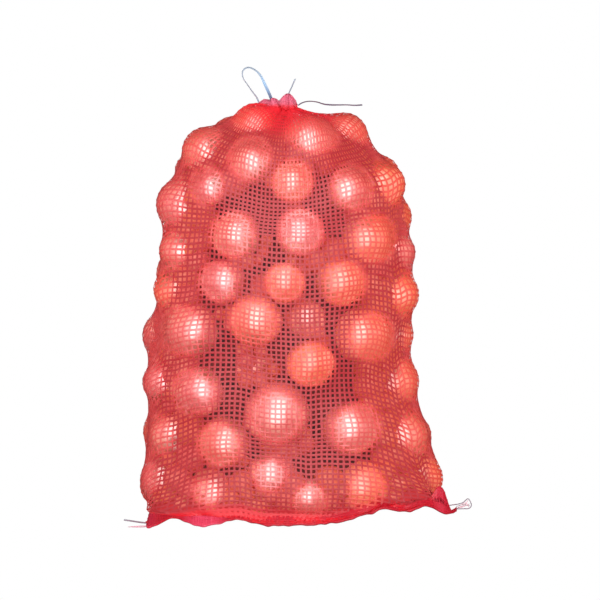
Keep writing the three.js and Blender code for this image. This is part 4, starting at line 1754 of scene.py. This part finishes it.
class NETSACK_OT_mouth(bpy.types.Operator):
    """Adds the gathered edge of the mouth above the neck"""

    bl_idname = "net_sack.mouth"
    bl_label = "Mouth"

    STRANDS = 84
    STEPS = 16
    NECK_SPAN = (493, 503)
    NECK_LIFT = 4
    NECK_SHARE = 0.75
    OPEN_BY = 0.45
    SLIM = 0.86

    # Pleats as count, size and turn from lobe to lobe, their depth and how far they lift the edge
    PLEATS = ((9, 0.6, 1), (14, 0.4, 0))
    PLEAT = 0.17
    PLEAT_LIFT = 1.2

    # Fullness of a lobe as it rises, the dent in each lobe's edge, and the strands over them
    FULL = {"start": 0.16, "span": 0.82, "power": 0.7}
    DENTS = (3.5, 0)
    DENT = {"off": 2, "width": 4}
    TOP_DROP = 1.5
    WARP = {"lift": 0.5, "width": 1.0}
    WEFT = {"lift": 0.9, "width": 1.2}
    WEFT_ROWS = slice(2, None, 3)
    THICKNESS = 0.5

    def execute(self, context):
        warps, wefts, cores = [], [], []
        for index, lobe in enumerate(LOBES):
            at = self.lobe_grid(lobe, index)
            normals = grid_normals(at)
            upright = (at + normals * self.WARP["lift"]).swapaxes(0, 1)
            facing = normals.swapaxes(0, 1)
            warps.append(ribbons(upright, facing, self.WARP["width"], self.THICKNESS, False))
            level = (at + normals * self.WEFT["lift"])[self.WEFT_ROWS]
            facing = normals[self.WEFT_ROWS]
            wefts.append(ribbons(level, facing, self.WEFT["width"], self.THICKNESS, True))
            cores.append(self.closed_lobe(at))
        for name, parts in (("mouth_warps", warps), ("mouth_wefts", wefts), ("mouth_folds", cores)):
            piece, points = make_joined(name, parts, mouth_material())
            give_values(piece, "neck", 1 - smoothstep(points[:, 2], *self.NECK_SPAN))
        return {"FINISHED"}

    def lobe_grid(self, lobe, index):
        """Rows of points round one pleated lobe, from the neck to its rounded top."""
        turn = np.linspace(0, 2 * math.pi, self.STRANDS, endpoint=False)[None]
        rise = np.linspace(0, 1, self.STEPS + 1)[:, None]
        fold = sum(
            size * np.cos(count * turn + index * phase) for count, size, phase in self.PLEATS
        )
        full = np.sin(math.pi * (self.FULL["start"] + self.FULL["span"] * rise)) ** self.FULL["power"]
        pleat = 1 + self.PLEAT * fold * full
        open_up = smoothstep(rise, 0.0, self.OPEN_BY)
        ring = NECK_RING * self.NECK_SHARE
        middle_x = NECK["x"] + (lobe["x"] - NECK["x"]) * open_up
        wide = ring + (lobe["half_width"] - ring) * open_up
        deep = ring + (lobe["half_depth"] - ring) * open_up
        low = NECK["z"] + self.NECK_LIFT
        top = lobe["z"] + lobe["half_height"] - self.TOP_DROP
        x = middle_x - self.SLIM * wide * full * pleat * np.cos(turn)
        y = lobe["y"] - deep * full * pleat * np.sin(turn)
        off = x - lobe["x"] + self.DENT["off"]
        dent = self.DENTS[index] * np.exp(-(off / self.DENT["width"]) ** 2)
        z = low + (top - low) * rise + (self.PLEAT_LIFT * fold - dent) * rise
        return np.stack([x, y, z], -1)

    def closed_lobe(self, at):
        """The lobe's folded net as one closed surface just under its strands."""
        points = at.reshape(-1, 3)
        ends = [at[0].mean(0), at[-1].mean(0)]
        count = len(points)
        ring = np.arange(self.STRANDS)
        pairs = np.column_stack([ring, np.roll(ring, -1)])
        top = self.STEPS * self.STRANDS
        faces = grid_faces(*at.shape[:2]).tolist()
        faces += [[second, first, count] for first, second in pairs]
        faces += [[first, second, count + 1] for first, second in pairs + top]
        fibre = np.vstack([points[:, [0, 2, 1]], np.zeros((2, 3))])
        return np.vstack([points, ends]), faces, fibre


class NETSACK_PT_panel(bpy.types.Panel):
    """Lists the steps that build the sack, with their settings"""

    bl_idname = "NETSACK_PT_panel"
    bl_label = "Net sack"
    bl_space_type = "VIEW_3D"
    bl_region_type = "UI"
    bl_category = "Net sack"

    def draw(self, context):
        for operator in OPERATORS:
            self.layout.operator(operator.bl_idname)
        for key, group in SETTINGS.items():
            box = self.layout.box()
            for name in group.__annotations__:
                box.prop(getattr(context.scene, key), name)


SETTINGS = {
    "net_sack_stage": NetSackStageSettings,
    "net_sack_net": NetSackNetSettings,
    "net_sack_onions": NetSackOnionSettings,
    "net_sack_trim": NetSackTrimSettings,
}
OPERATORS = (
    NETSACK_OT_stage,
    NETSACK_OT_drawstring,
    NETSACK_OT_onions,
    NETSACK_OT_core,
    NETSACK_OT_net,
    NETSACK_OT_hem,
    NETSACK_OT_mouth,
)


def register():
    for key, group in SETTINGS.items():
        bpy.utils.register_class(group)
        setattr(bpy.types.Scene, key, bpy.props.PointerProperty(type=group))
    for operator in OPERATORS:
        bpy.utils.register_class(operator)
    bpy.utils.register_class(NETSACK_PT_panel)


def unregister():
    bpy.utils.unregister_class(NETSACK_PT_panel)
    for operator in reversed(OPERATORS):
        bpy.utils.unregister_class(operator)
    for key, group in reversed(SETTINGS.items()):
        delattr(bpy.types.Scene, key)
        bpy.utils.unregister_class(group)


def main():
    """Builds the whole sack."""
    register()
    for operator in OPERATORS:
        group, name = operator.bl_idname.split(".")
        getattr(getattr(bpy.ops, group), name)()
    bpy.context.view_layer.update()


if __name__ == "__main__":
    main()
